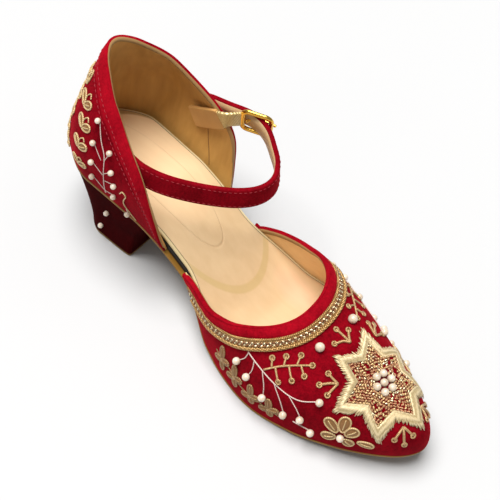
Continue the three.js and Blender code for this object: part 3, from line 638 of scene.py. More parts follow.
class Paint:
    """A node material: short calls for the nodes that the finishes below share."""

    def __init__(self, name, colour, roughness, metallic=0.0):
        self.material = bpy.data.materials.new(name)
        self.material.use_nodes = True
        self.tree = self.material.node_tree
        self.shader = self.tree.nodes["Principled BSDF"]
        self.put({"Base Color": colour, "Roughness": roughness, "Metallic": metallic})
        self.coords = self.tree.nodes.new("ShaderNodeTexCoord").outputs

    def feed(self, socket, value):
        """Wires another node's output to a socket, or sets a number, a vector or a colour on it."""
        if isinstance(value, bpy.types.NodeSocket):
            self.tree.links.new(value, socket)
        elif isinstance(value, tuple):
            socket.default_value = (*value, 1)[:len(socket.default_value)]
        else:
            socket.default_value = value

    def put(self, values):
        for name, value in values.items():
            self.feed(self.shader.inputs[name], value)

    def node(self, kind, inputs, **settings):
        node = self.tree.nodes.new("ShaderNode" + kind)
        for name, value in settings.items():
            setattr(node, name, value)
        for name, value in inputs.items():
            self.feed(node.inputs[name], value)
        return node

    def noise(self, scale, detail=3.0, stretch=None):
        place = self.coords["Object"]
        if stretch is not None:
            place = self.node("Mapping", {"Scale": stretch, "Vector": place}).outputs["Vector"]
        return self.node("TexNoise", {"Scale": scale, "Detail": detail, "Vector": place}).outputs["Fac"]

    def place(self):
        """Texture places of the mesh, split into their two parts."""
        return self.node("SeparateXYZ", {"Vector": self.coords["UV"]}).outputs[:2]

    def ramp(self, source, *stops):
        node = self.node("ValToRGB", {"Fac": source})
        for element, (place, colour) in zip(node.color_ramp.elements, stops):
            element.position = place
            element.color = (*colour, 1)
        return node.outputs["Color"]

    def math(self, operation, *values):
        return self.node("Math", dict(enumerate(values)), operation=operation).outputs[0]

    def times(self, source, factor):
        return self.math("MULTIPLY", source, factor)

    def blend(self, *shares):
        """A sum of sources, each multiplied by its share."""
        total, *others = [self.times(source, share) for source, share in shares]
        for term in others:
            total = self.math("ADD", total, term)
        return total

    def part(self, value, start, long):
        """How far a value has come from a start, as a share of a length."""
        return self.math("DIVIDE", self.math("SUBTRACT", value, start), long)

    def clamp(self, source):
        return self.math("MINIMUM", self.math("MAXIMUM", source, 0.0), 1.0)

    def mix(self, factor, first, second):
        node = self.node("Mix", {}, data_type="RGBA")
        sockets = {socket.identifier: socket for socket in (*node.inputs, *node.outputs)}
        for name, value in (("Factor_Float", factor), ("A_Color", first), ("B_Color", second)):
            self.feed(sockets[name], value)
        return sockets["Result_Color"]

    def bump(self, source, height_mm, strength):
        """Relief on top of the relief that the shader already has."""
        normal = self.shader.inputs["Normal"]
        inputs = {"Strength": strength, "Distance": height_mm * MM, "Height": source}
        if normal.is_linked:
            inputs["Normal"] = normal.links[0].from_socket
        self.put({"Normal": self.node("Bump", inputs).outputs["Normal"]})


def velvet(name, deep, bright, sheen):
    """Cut pile: patches of leaning nap, a fine pile bump and a tinted sheen. The patch and nap noises paint
    the red darker and lighter: painted shade and light of the leaning nap.
    """
    paint = Paint(name, bright, 0.95)
    pile = paint.noise(2600, 2)
    patch = paint.noise(60, 4)
    nap = paint.noise(420, 3, (1.0, 1.0, 0.35))
    grain = paint.noise(950, 2)
    # patch and nap give painted shade and light of the nap; pile and grain add random tone
    tone = paint.blend((patch, 0.34), (pile, 0.22), (nap, 0.20), (grain, 0.24))
    paint.put({"Base Color": paint.ramp(tone, (0.36, deep), (0.64, bright)), "Specular IOR Level": 0.03})
    paint.put({"Sheen Weight": sheen, "Sheen Roughness": 0.38, "Sheen Tint": (1.0, 0.035, 0.06)})
    paint.bump(pile, 0.22, 0.55)
    paint.bump(patch, 0.5, 0.25)
    return paint.material


def leather(name, deep, bright, roughness, grain_mm=0.12, coat=0.0, streaks=0.0):
    """Fine grained lining leather with soft tonal patches, and upright streaks if asked for."""
    paint = Paint(name, bright, roughness)
    grain = paint.noise(1400, 4)
    patch = paint.noise(38, 3)
    if streaks:
        patch = paint.blend((patch, 1 - streaks), (paint.noise(260, 4, (1.0, 1.0, 0.12)), streaks))
    paint.put({"Base Color": paint.ramp(patch, (0.30, deep), (0.70, bright)), "Specular IOR Level": 0.35})
    paint.put({"Roughness": paint.math("ADD", paint.times(grain, 0.18), roughness - 0.09)})
    paint.put({"Coat Weight": coat, "Coat Roughness": 0.35})
    paint.bump(grain, grain_mm, 0.5)
    return paint.material


def thread(name, deep, bright, metallic, roughness, pitch_mm=0.9):
    """Twisted metallic or silk thread: bands that wind along the strand's own length."""
    paint = Paint(name, bright, roughness, metallic)
    along, around = paint.place()
    wind = paint.blend((along, 2 * math.pi / pitch_mm), (around, 2 * math.pi))
    wave = paint.math("MULTIPLY_ADD", paint.math("SINE", wind), 0.5, 0.5)
    tone = paint.blend((wave, 0.6), (paint.noise(1100, 2), 0.4))
    paint.put({"Base Color": paint.ramp(tone, (0.15, deep), (0.75, bright)), "Specular IOR Level": 0.5})
    paint.bump(wave, 0.16, 0.8)
    return paint.material


def metal(name, colour, roughness):
    """Plated metal with faint polishing haze."""
    paint = Paint(name, colour, roughness, 1.0)
    dull = tuple(c * 0.86 for c in colour)
    haze = paint.math("MULTIPLY_ADD", paint.noise(320, 4, (1, 1, 5)), 0.22, roughness - 0.08)
    paint.put({"Roughness": haze, "Base Color": paint.ramp(paint.noise(90, 3), (0.3, dull), (0.7, colour))})
    return paint.material


def pearl(name, deep, bright):
    """Clouded lustre under a clear coat."""
    paint = Paint(name, bright, 0.22)
    paint.put({"Base Color": paint.ramp(paint.noise(260, 2), (0.35, deep), (0.65, bright))})
    paint.put({"Coat Weight": 0.7, "Coat Roughness": 0.08, "Sheen Weight": 0.15})
    paint.put({"Subsurface Weight": 0.15, "Subsurface Radius": (0.002, 0.0015, 0.001)})
    return paint.material


def sock_leather(name):
    """Beige sock leather: a heel pad, a shaded rear edge, a pressed oval line and a band at the ball.
    Painted light makes the heel end lighter than the fore part, where the counter's walls shade it.
    """
    paint = Paint(name, (0.84, 0.60, 0.33), 0.5)
    along, across = paint.place()

    def oval(middle, half_long, half_wide, power, offset):
        a = paint.math("ABSOLUTE", paint.part(along, middle, half_long))
        b = paint.math("ABSOLUTE", paint.part(across, offset, half_wide))
        total = paint.math("ADD", paint.math("POWER", a, power), paint.math("POWER", b, power))
        return paint.math("POWER", total, 1 / power)

    def off_line(field, width):
        """Distance from an oval's line, in widths of the line."""
        return paint.math("DIVIDE", paint.math("ABSOLUTE", paint.math("SUBTRACT", field, 1.0)), width)

    def soft_top(value, ease):
        return paint.math("SMOOTH_MIN", paint.math("MAXIMUM", value, 0.0), 1.0, ease)

    patch = paint.blend((paint.noise(26, 3), 0.6), (paint.noise(240, 4, (0.10, 1.0, 1.0)), 0.4))
    # fore and back are one leather: back is its lighter copy, painted light for the heel end that the
    # counter shades, blended in below
    fore = paint.ramp(patch, (0.3, (0.60, 0.415, 0.225)), (0.7, (0.70, 0.51, 0.295)))
    back = paint.ramp(patch, (0.3, (0.88, 0.62, 0.35)), (0.7, (0.96, 0.72, 0.43)))
    tint = paint.mix(paint.clamp(paint.part(along, *SOCK_PAINTED_LIGHT_FROM)), fore, back)
    pad = paint.math("LESS_THAN", oval(*SOCK_PAD), 1.0)
    tint = paint.mix(paint.times(pad, 0.10), tint, (0.80, 0.50, 0.30))
    rear = paint.clamp(paint.part(oval(*SOCK_REAR), 1.0, 0.03))
    rear = paint.times(rear, paint.math("LESS_THAN", along, SOCK_REAR_END))
    tint = paint.mix(paint.times(rear, 0.75), tint, (0.42, 0.27, 0.095))
    blush = paint.math("SUBTRACT", 1.0, paint.math("POWER", oval(*SOCK_BLUSH), 2))
    tint = paint.mix(paint.times(paint.math("MAXIMUM", blush, 0.0), 0.5), tint, (0.72, 0.42, 0.28))
    band = paint.clamp(paint.math("SUBTRACT", 2.6, off_line(oval(*SOCK_BAND), 0.019)))
    band = paint.times(band, soft_top(paint.part(along, *SOCK_BAND_START), 0.2))
    tint = paint.mix(paint.times(band, 0.50), tint, (0.52, 0.375, 0.14))
    pressed = soft_top(paint.math("SUBTRACT", 1.0, off_line(oval(*SOCK_PRESSED), 0.022)), 0.1)
    tint = paint.mix(paint.times(pressed, 0.18), tint, (0.50, 0.30, 0.14))
    paint.put({"Base Color": tint, "Specular IOR Level": 0.35})
    paint.bump(paint.times(pressed, -1.0), 0.35, 0.6)
    paint.bump(paint.noise(1500, 3), 0.10, 0.4)
    return paint.material


VELVET = velvet("velvet_red", (0.086, 0.0003, 0.0026), (0.300, 0.0022, 0.0095), 0.30)
VELVET_EDGE = velvet("velvet_binding", (0.150, 0.0008, 0.0045), (0.410, 0.0034, 0.0135), 0.36)
# The heel's velvet is kept far darker than the upper's: painted shade under the seat's overhang
VELVET_HEEL_PAINTED_SHADE = velvet("velvet_heel_painted_shade", (0.018, 0.0001, 0.0003), (0.046, 0.0002, 0.0007), 0.02)
VELVET_STRAP = velvet("velvet_strap", (0.105, 0.0006, 0.003), (0.300, 0.0028, 0.010), 0.36)
LINING = leather("lining_tan", (0.46, 0.240, 0.056), (0.67, 0.380, 0.106), 0.55, streaks=0.45)
LINING_DARK = leather("lining_seam_tan", (0.21, 0.098, 0.026), (0.29, 0.145, 0.044), 0.6)
LIP_TAN = leather("lining_lip", (0.30, 0.172, 0.060), (0.41, 0.242, 0.092), 0.6)
VAMP_LINING = leather("lining_vamp", (0.90, 0.60, 0.29), (0.97, 0.69, 0.36), 0.55)
SOCK = sock_leather("sock_beige")
SOCK_RIM = leather("sock_rim", (0.62, 0.49, 0.25), (0.74, 0.61, 0.35), 0.45)
SOCK_LINE = leather("sock_line", (0.16, 0.12, 0.075), (0.24, 0.19, 0.12), 0.6)
TAB_COVER_TAN = leather("tab_tan", (0.52, 0.27, 0.080), (0.66, 0.37, 0.125), 0.55)
STRAP_LINING = leather("strap_lining", (0.50, 0.32, 0.15), (0.66, 0.45, 0.24), 0.5)
SOLE_EDGE = leather("sole_edge", (0.20, 0.092, 0.010), (0.33, 0.165, 0.019), 0.55, 0.08, 0.05)
BOARD_BLACK = leather("board_black", (0.006, 0.005, 0.005), (0.020, 0.016, 0.014), 0.55)
TOP_PIECE = leather("top_piece", (0.16, 0.085, 0.022), (0.26, 0.145, 0.040), 0.6, 0.2)
GOLD_THREAD = thread("thread_gold", (0.34, 0.18, 0.065), (0.84, 0.60, 0.30), 0.50, 0.32)
# Gold cord darkened by painted shade, for the chain flowers low on the vamp's side
GOLD_PAINTED_SHADE = thread("thread_gold_painted_shade", (0.16, 0.075, 0.026), (0.50, 0.315, 0.140), 0.45, 0.38)
SATIN = thread("thread_satin", (0.42, 0.31, 0.145), (0.80, 0.66, 0.40), 0.20, 0.36, 3.2)
SATIN_DEEP = thread("thread_satin_deep", (0.30, 0.20, 0.085), (0.52, 0.40, 0.21), 0.20, 0.5, 3.0)
PETAL = thread("thread_petal", (0.12, 0.042, 0.010), (0.36, 0.175, 0.052), 0.30, 0.42, 0.8)
PALE_CORD = thread("thread_pale", (0.40, 0.255, 0.095), (0.80, 0.60, 0.31), 0.25, 0.36, 0.9)
SPARK_GOLD = thread("bead_spark", (0.50, 0.38, 0.20), (0.95, 0.82, 0.56), 0.75, 0.16, 0.9)
BRAID_GOLD = thread("braid_gold", (0.24, 0.115, 0.030), (0.66, 0.41, 0.155), 0.5, 0.34, 0.8)
BRAID_DARK = thread("braid_dark", (0.07, 0.026, 0.008), (0.22, 0.11, 0.038), 0.4, 0.5, 0.8)
BRAID_BROWN = thread("braid_brown", (0.09, 0.030, 0.010), (0.34, 0.150, 0.058), 0.4, 0.4, 0.8)
COPPER = thread("bullion_copper", (0.25, 0.090, 0.040), (0.76, 0.42, 0.22), 0.55, 0.28, 0.55)
COPPER_GOLD = thread("thread_copper_gold", (0.26, 0.13, 0.045), (0.74, 0.50, 0.24), 0.5, 0.36, 0.7)
WHITE_THREAD = thread("thread_white", (0.52, 0.36, 0.30), (0.80, 0.66, 0.58), 0.0, 0.5, 1.1)
RED_STITCH = thread("stitch_red", (0.24, 0.006, 0.014), (0.46, 0.022, 0.036), 0.0, 0.6, 0.8)
ELASTIC = thread("elastic_gold", (0.32, 0.220, 0.070), (0.92, 0.760, 0.370), 0.4, 0.36, 1.2)
PEARL = pearl("pearl", (0.60, 0.47, 0.33), (0.78, 0.68, 0.54))
GOLD = metal("gold_plate", (0.86, 0.52, 0.09), 0.20)


# Sole, insole and heel


def sole_loop(phi, inset):
    """Plan outline moved in by an inset: phi runs from the heel, forwards to the toe on either side."""
    def at(p):
        p = (p + np.pi) % (2 * np.pi) - np.pi
        x = station_x(np.abs(p))
        return np.stack([x, centre_line(x) + np.sign(p) * half_width(x)], -1)

    along = unit(at(phi + 0.01) - at(phi - 0.01))
    inward = np.stack([along[..., 1], -along[..., 0]], -1)
    return at(phi) + inward * inset


def over_tread(flat, lift):
    """Points of a plan set at a height over the tread."""
    return np.concatenate([flat, (tread(flat[..., 0]) + lift)[..., None]], -1)


def sole_sheet(inset, lift, stations=180, columns=12):
    """A surface across the sole at a height over the tread, as rows from heel to toe."""
    phi = np.linspace(0.0, np.pi, stations)
    inner = sole_loop(-phi, inset)[:, None]
    outer = sole_loop(phi, inset)[:, None]
    share = np.linspace(0, 1, columns)[None, :, None]
    return over_tread(inner * (1 - share) + outer * share, lift)


def sole_wall(stock, profile, points=360):
    """The edge of a layer: a profile of inset and height over the tread, carried round the outline."""
    phi = np.linspace(-np.pi, np.pi, points, endpoint=False)
    rings = [over_tread(sole_loop(phi, inset), lift) for inset, lift in profile]
    stock.grid(np.stack(rings), ring=True)


def round_edge(inset, low, high, radius, steps=4):
    """Profile of a layer's edge with rounded corners, from its underside to its top."""
    turn = np.linspace(0, np.pi / 2, steps)
    under = [(inset + radius * (1 - math.sin(t)), low + radius * (1 - math.cos(t))) for t in turn]
    over = [(inset + radius * (1 - math.cos(t)), high - radius * (1 - math.sin(t))) for t in turn]
    return under + over


def sole_layer(name, inset, low, high, radius, material, slot):
    stock = Stock()
    stock.grid(sole_sheet(inset + radius, high))
    stock.grid(sole_sheet(inset + radius, low), flip=True)
    sole_wall(stock, round_edge(inset, low, high, radius))
    return stock.make(name, material, slot)


def insole_top():
    inset = SOCK_INSET + SOCK_RIM_WIDE
    top, low = (sole_sheet(inset, lift, 200, 70) for lift in (SOCK_TOP, SOCK_TOP - SOCK_SHEET))
    places = np.stack([top[..., 0], top[..., 1] - centre_line(top[..., 0])], -1)
    stock = Stock()
    shell(stock, top, low, places)
    return stock.make("insole_top", SOCK, "sock")


def insole_edge():
    """The sock's rolled rim, and the dark groove between it and the sock's face."""
    rim = Stock()
    inner = SOCK_INSET + 2 * SOCK_RIM_WIDE
    sole_wall(rim, [(inner, SOCK_LOW), *round_edge(SOCK_INSET, SOCK_LOW, SOCK_TOP - 0.05, SOCK_ROUND),
                    (inner - 0.6, SOCK_TOP - 0.06), (inner, SOCK_LOW + 0.4)])
    rim.make("insole_edge", SOCK_RIM, "sock")
    groove = Stock()
    middle = SOCK_INSET + SOCK_RIM_WIDE
    sole_wall(groove, [(middle + inset, SOCK_TOP + lift) for inset, lift in SOCK_GROOVE])
    groove.make("insole_line", SOCK_LINE, "sock")


def heel_seat(points=200):
    """Outline of the heel under the seat: the sole's outline with a flat front and eased corners."""
    reach = station_angle(HEEL_FRONT)
    line = sole_loop(np.linspace(-reach, reach, points), HEEL_INSET)
    front = np.linspace(line[-1], line[0], 60)[1:]
    closed = np.vstack([line, front])
    distance = path_reach(closed)
    ring = along_path(np.linspace(0, distance[-1], points, endpoint=False), distance, closed)
    for _ in range(HEEL_EASE_PASSES):
        ring = (np.roll(ring, 1, 0) + 2 * ring + np.roll(ring, -1, 0)) / 4
    return ring


HEEL_SEAT = heel_seat()


def heel_ring(share):
    """Outline of the heel at a share of its height."""
    ease = share ** HEEL_FLARE
    centre = PLAN["centre"][0]
    back = HEEL_FOOT["back"] * (1 - ease)
    front = HEEL_FOOT["front"] + (HEEL_FRONT - HEEL_FOOT["front"]) * ease
    scale = HEEL_FOOT["scale"] + (1 - HEEL_FOOT["scale"]) * ease
    x = back + (front - back) * HEEL_SEAT[:, 0] / HEEL_FRONT
    return np.stack([x, centre + (HEEL_SEAT[:, 1] - centre) * scale], -1)


def heel_block():
    low = TOP_PIECE_HIGH + HEEL_LIFT_GAP
    high = tread(HEEL_SEAT[:, 0]) - HEEL_SEAT_GAP
    rings = [np.column_stack([heel_ring(s), low + (high - low) * s]) for s in np.linspace(0, 1, 36)]
    # The heel cover's velvet is darkened by painted shade
    return Stock().grid(np.stack(rings), ring=True, flip=True).make("heel_cover", VELVET_HEEL_PAINTED_SHADE, "heel_velvet")


def top_piece():
    flat = heel_ring(0.0)
    middle = flat.mean(0)
    level = np.ones(len(flat))
    rings = [np.column_stack([middle + (flat - middle) * s, level * z]) for s, z in TOP_PIECE_PROFILE]
    return Stock().grid(np.stack(rings), ring=True, flip=True).make("heel_lift", TOP_PIECE, "top_piece")


OUTSOLE_PLACE = (0.0, 0.0, OUTSOLE, OUTSOLE_ROUND)
BOARD_PLACE = (BOARD_INSET, BOARD_LOW, BOARD_TOP, BOARD_ROUND)
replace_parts(sole_layer("outsole_leather", *OUTSOLE_PLACE, SOLE_EDGE, "outsole"), "outsole")
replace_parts(sole_layer("insole_board_layer", *BOARD_PLACE, BOARD_BLACK, "board"), "insole_board")
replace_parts(insole_top(), "insole")
insole_edge()
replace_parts(heel_block(), "heel_block")
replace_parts(top_piece(), "heel_top_piece")


# Vamp and counter


def edge_profile(width, rise, wall, inside, over=1.0):
    """Rows of a binding that wraps an edge: distance from the edge and height off the surface."""
    arch = [(s, math.sin(math.pi * min(1.0, s * 1.06)) ** 0.45) for s in np.linspace(1, 0.04, 14)]
    outside = [(width * s, rise * (EDGE_FOOT + (1 - EDGE_FOOT) * bow)) for s, bow in arch]
    middle = (rise - wall) / 2
    half = (rise + wall) / 2
    turns = np.linspace(0.25, math.pi - 0.25, 9)
    turn = [(-over * math.sin(t), middle + half * math.cos(t)) for t in turns]
    under = [(s * inside, -wall - 0.12) for s in np.linspace(0.0, 1.0, 4)]
    return np.array(outside + turn + under + [(inside + 0.3, -wall + 0.3)])


def wrap_edge(points_at, face, profile, trim):
    """Carries an edge profile along a surface whose rows are measured from its edge."""
    distance = profile[:, :1] * trim
    height = profile[:, 1, None, None]
    inward = np.maximum(distance, 0)
    rows = points_at(inward)
    edge = np.zeros((1, len(trim)))
    into = unit(points_at(edge + 0.4)[0] - points_at(edge)[0])
    down = unit(points_at(inward + 0.3) - rows)
    normal = unit(np.cross(down, unit(np.gradient(rows, axis=1)))) * face
    fade = np.minimum(1, EDGE_FOOT + (1 - EDGE_FOOT) * trim)[:, None]
    return rows + into * np.minimum(distance, 0)[..., None] + normal * height * fade


def rolled_edge(name, roll, flip=False):
    """Velvet over the outside of an edge, and the lining's own turned lip from the split row inwards."""
    split = LIP_ROW[name]
    for tag, rows, material, slot in (("_binding", roll[:split + 1], VELVET_EDGE, "velvet"),
                                      ("_lip", roll[split:], LIP_TAN, "sock")):
        stock = Stock()
        stock.grid(rows, flip=flip)
        stock.fan(rows[:, 0], 1)
        stock.fan(rows[:, -1], -1)
        stock.make(name + tag, material, slot)


def wall_piece(name, rows, face, outer, inner, material, slot):
    """A closed wall between two depths under a surface, cut level at its lower edge."""
    normals = grid_normals(rows, face)
    outside = rows - normals * outer
    inside = rows - normals * inner
    inside[-1, :, 2] = outside[-1, :, 2]
    stock = Stock()
    shell(stock, outside, inside, flip=face < 0)
    return stock.make(name, material, slot)


def vamp_pieces(lines):
    start = (BINDING - BINDING_LAP) * lines.bind
    share = 1 - (1 - np.linspace(0, 1, 70)) ** 1.5
    rows = lines.points(start + (lines.total - start) * share[:, None])
    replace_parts(wall_piece("vamp_velvet", rows, 1, 0.0, VAMP_VELVET, VELVET, "velvet"), "vamp")
    rows = lines.points(lines.total * np.linspace(0, 1, 60)[:, None])
    wall_piece("vamp_lining", rows, 1, VAMP_VELVET + LINING_GAP, VAMP_WALL, VAMP_LINING, "sock")
    profile = edge_profile(BINDING, BINDING_RISE, VAMP_WALL, BINDING_INSIDE)
    rolled_edge("throat", wrap_edge(lines.points, 1, profile, lines.bind))


def counter_pieces():
    along = np.linspace(-1, 1, 260)
    along = along - 0.05 * np.sin(2 * np.pi * along) / 2
    top = topline(counter_station(along))
    trim = np.minimum(1, COLLAR_SHARE * top / COLLAR)
    start = (COLLAR - COLLAR_LAP) * trim
    shares = np.linspace(0, 1, 56)[:, None]
    rows = counter_rows(along, start + (top - start) * shares)
    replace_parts(wall_piece("counter_velvet", rows, -1, 0.0, COUNTER_VELVET, VELVET, "velvet"), "counter")
    rows = counter_rows(along, top * shares)
    wall_piece("counter_lining", rows, -1, COUNTER_VELVET + LINING_GAP, COUNTER_WALL, LINING, "sock")
    profile = edge_profile(COLLAR, COLLAR_RISE, COUNTER_WALL, COLLAR_INSIDE, COLLAR_ROLL)
    rolled_edge("collar", wrap_edge(lambda drop: counter_rows(along, drop), -1, profile, trim), flip=True)


def lining_seam():
    height = np.linspace(SEAM["low"], SEAM["high"], 40)
    point, normal = counter_frame(SEAM["foot_x"] - SEAM["slant"] * height, height, 1)
    stock = Stock()
    tube(stock, point - normal * (COUNTER_WALL - 0.08), normal, SEAM["radius"], sides=6)
    stock.make("lining_seam", LINING_DARK, "sock")


even = np.linspace(0, 1, 240)
vamp_lines = VampLines(VAMP_OUTER_END * (even - 0.06 * np.sin(2 * np.pi * even)))
vamp_pieces(vamp_lines)
counter_pieces()
lining_seam()


# Ankle strap, buckle and tab


class Band:
    """A leaning strip that follows a route of x, y, z and lean: its middle line and its own axes."""

    def __init__(self, route, count):
        line = smooth_path(route, count)
        self.path = line[:, :3]
        self.along = unit(np.gradient(self.path, axis=0))
        out = unit(np.cross(self.along, [0.0, 0.0, 1.0]))
        up = np.cross(out, self.along)
        tilt = np.radians(line[:, 3:4])
        self.wide = up * np.cos(tilt) - out * np.sin(tilt)
        self.thick = out * np.cos(tilt) + up * np.sin(tilt)
        self.reach = path_reach(self.path)

    def at(self, width, height):
        """Points at offsets across and off the band, given for each station or for all."""
        return self.path + self.wide * np.reshape(width, (-1, 1)) + self.thick * np.reshape(height, (-1, 1))

    def stock(self, section, narrow=1.0, first=0, last=None):
        """A section of width and height pairs carried along the band and closed at both ends."""
        rings = np.stack([self.at(w * narrow, h) for w, h in section], 1)[first:last]
        widths = np.array([w for w, h in section])
        stock = Stock()
        places = np.stack(np.broadcast_arrays(self.reach[first:last][:, None], widths), -1)
        stock.grid(rings, ring=True, places=places, flip=True)
        stock.fan(rings[0], 1)
        stock.fan(rings[-1], -1)
        return stock


def pillow_section(width, thick, swell_by, round_by=0.9):
    """Outline of a turned strip: a slightly padded face, rounded edges and a flat back."""
    half = width / 2
    turns = np.linspace(1.2, -1.2, 6)
    face = [(half * s, thick / 2 + swell_by * (1 - s ** 4)) for s in np.linspace(-0.9, 0.9, 11)]
    right = [(half - round_by * (1 - math.cos(t)) * 0.6, thick / 2 * math.sin(t)) for t in turns]
    back = [(half * s, -thick / 2) for s in np.linspace(0.88, -0.88, 5)]
    left = [(-w, -h) for w, h in right]
    return face + right + back + left


def stitches(stock, path, normals):
    """Short dashes of thread along a path, each a small rounded stroke that dips in at its ends."""
    reach = path_reach(path)
    lift = np.array([-0.15, 0.04, 0.12, 0.04, -0.15])[:, None]
    radius = np.array([0.5, 0.9, 1.0, 0.9, 0.5]) * STITCH["radius"]
    for start in np.arange(STITCH["start"], reach[-1] - STITCH["long"], STITCH["pitch"]):
        spots = start + np.array([0, 0.12, 0.5, 0.88, 1.0]) * STITCH["long"]
        up = unit(along_path(spots, reach, normals))
        tube(stock, along_path(spots, reach, path) + up * lift, up, radius, sides=5)


def strap_pieces():
    band = Band(STRAP_ROUTE, STRAP_STATIONS)
    share = np.linspace(0, 1, STRAP_STATIONS)
    tip = np.clip((share - STRAP_POINT) / (1 - STRAP_POINT), 0, 1)
    narrow = np.sqrt(1 - 0.8 * tip ** 2)
    face = band.stock(pillow_section(STRAP_WIDTH, STRAP_THICK, STRAP_SWELL), narrow)
    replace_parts(face.make("strap_velvet", VELVET_STRAP, "velvet"), "ankle_strap")
    half, low = STRAP_BACK_HALF, -STRAP_THICK / 2
    section = [(side * half, low + lift) for side, lift in STRAP_BACK_CORNERS]
    band.stock(section, narrow, 2, STRAP_STATIONS - 4).make("strap_lining", STRAP_LINING, "sock")
    dashes = Stock()
    stop = STRAP_STATIONS - 8
    for side in (-1, 1):
        edge = band.at(side * (STRAP_WIDTH / 2 - STRAP_STITCH_IN) * narrow, STRAP_THICK / 2 + 0.2)
        stitches(dashes, edge[:stop], band.thick[:stop])
    dashes.make("strap_stitches", RED_STITCH, "velvet")


class BuckleFrame:
    """The buckle's middle and its axes, from the strap where it passes through."""

    def __init__(self, steps=400):
        spans = len(STRAP_ROUTE) - 1
        band = Band(STRAP_ROUTE, spans * steps + 1)
        k = int(round(BUCKLE_AT * spans * steps))
        self.toe = -band.along[k]
        self.thick = band.thick[k]
        self.wide = band.wide[k]
        self.long = self.toe * math.cos(BUCKLE_TIP) + self.thick * math.sin(BUCKLE_TIP)
        self.centre = band.path[k] - self.thick * BUCKLE_SINK


def buckle_wire(axes):
    corners = []
    for a, b, start in ((1, 1, 0), (-1, 1, 90), (-1, -1, 180), (1, -1, 270)):
        for turn in np.radians(start + np.linspace(0, 90, 9)):
            u = a * (BUCKLE_LONG / 2 - BUCKLE_ROUND) + BUCKLE_ROUND * math.cos(turn)
            v = b * (BUCKLE_WIDE / 2 - BUCKLE_ROUND) + BUCKLE_ROUND * math.sin(turn)
            corners.append(axes.centre + axes.long * u + axes.wide * v)
    facing = unit(np.cross(axes.wide, axes.long))
    stock = Stock()
    width, height = (BUCKLE_WIRE * share for share in BUCKLE_FLAT)
    tube(stock, corners, facing, width, height, sides=14, closed=True)
    return stock.make("buckle_wire", GOLD, "buckle")


def buckle_pin(axes):
    """The prong: from beside the rear bar, over the strap and onto the front bar."""
    reach = BUCKLE_LONG / 2 * math.cos(BUCKLE_TIP)
    rise = BUCKLE_LONG / 2 * math.sin(BUCKLE_TIP)
    over = BUCKLE_WIRE + PRONG_WIRE + SMALL_GAP
    on_strap = BUCKLE_SINK + STRAP_THICK / 2 + PRONG_WIRE + SMALL_GAP
    knots = [
        (-reach + over, -rise), (-reach + over + 1, -0.3), (-reach + over + 3.2, on_strap),
        (0, rise / 2 + over / 2 + 0.6), (reach, rise + over), (reach + 1.6, rise + over + 0.1),
    ]
    line = smooth_path([axes.centre + axes.toe * a + axes.thick * b for a, b in knots], 60)
    taper = PRONG_WIRE * np.minimum(1, np.linspace(8.0, 0.55, 60))
    stock = Stock()
    tube(stock, line, axes.wide, taper, sides=10)
    return stock.make("buckle_pin", GOLD, "buckle")


def tab_pieces(axes):
    """Elastic from the buckle's rear bar, and the leather that covers its other end inside the counter."""
    rear = axes.centre - axes.long * (BUCKLE_LONG / 2 + BUCKLE_WIRE * 0.2)
    band = Band(TAB_ROUTE + [(*rear, TAB_END_LEAN)], TAB_STATIONS)
    cut = int(TAB_STATIONS * TAB_COVER)
    elastic = band.stock(pillow_section(TAB_WIDTH, TAB_THICK, 0.1, 0.5), first=cut - 4)
    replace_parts(elastic.make("tab_elastic", ELASTIC, "elastic"), "buckle_tab")
    section = pillow_section(TAB_WIDTH + TAB_COVER_WIDER, TAB_THICK + TAB_COVER_THICKER, 0.05, 0.5)
    band.stock(section, last=cut).make("tab_cover", TAB_COVER_TAN, "sock")


strap_pieces()
buckle = BuckleFrame()
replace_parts(buckle_wire(buckle), "buckle_frame")
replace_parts(buckle_pin(buckle), "buckle_prong")
tab_pieces(buckle)


# Braid and stitches


def bead_axes(normal):
    """Two directions across a normal."""
    side = unit(np.cross(normal, [0.31, 0.83, 0.46]))
    return side, np.cross(normal, side)


def ball(stock, centre, radius, normal, squash=1.0, rings=7, sides=12):
    """A bead: a sphere, or one flattened along a normal."""
    side, over = bead_axes(normal)
    polar = np.linspace(0, np.pi, rings)[:, None, None]
    turn = (2 * np.pi * np.arange(sides) / sides)[None, :, None]
    flat = side * np.cos(turn) + over * np.sin(turn)
    stock.grid(centre + radius * (np.sin(polar) * flat + np.cos(polar) * normal * squash), ring=True)


def oval_bead(stock, centre, axis, normal, long, radius, sides):
    """A long bead that lies along an axis."""
    spots = np.linspace(-1, 1, 7)
    round_end = radius * np.sqrt(np.maximum(0.04, 1 - spots ** 4))
    tube(stock, centre + axis * (spots * long / 2)[:, None], normal, round_end, sides=sides)


def even_path(path, normals, step):
    """Distances spaced evenly along a path, with their points and normals."""
    reach = path_reach(path)
    spots = np.linspace(0, reach[-1], max(2, int(reach[-1] / step) + 1))
    return spots, along_path(spots, reach, path), unit(along_path(spots, reach, normals))


def rope(stock, path, normals, radius, pitch=2.4, plies=2):
    """A laid cord: plies that wind about a path."""
    spots, points, ups = even_path(path, normals, pitch / 12)
    side = unit(np.cross(unit(np.gradient(points, axis=0)), ups))
    for ply in range(plies):
        turn = (2 * np.pi * (spots / pitch + ply / plies))[:, None]
        arm = side * np.cos(turn) + ups * np.sin(turn)
        tube(stock, points + arm * radius * 0.48, arm, radius * 0.56, sides=5)


def edge_line(points_at, face, depth, clear, distance, lift):
    """A line that keeps its distance from an edge, as far as the wall goes deeper by a clearance."""
    rows = points_at(distance + EDGE_PROBE + 0 * depth)
    normals = grid_normals(rows, face)[1]
    keep = depth > distance + clear
    return (rows[1] + normals * lift)[keep], normals[keep]


def throat_path(distance, lift):
    return edge_line(vamp_lines.points, 1, vamp_lines.total, BRAID_CLEAR, distance, lift)


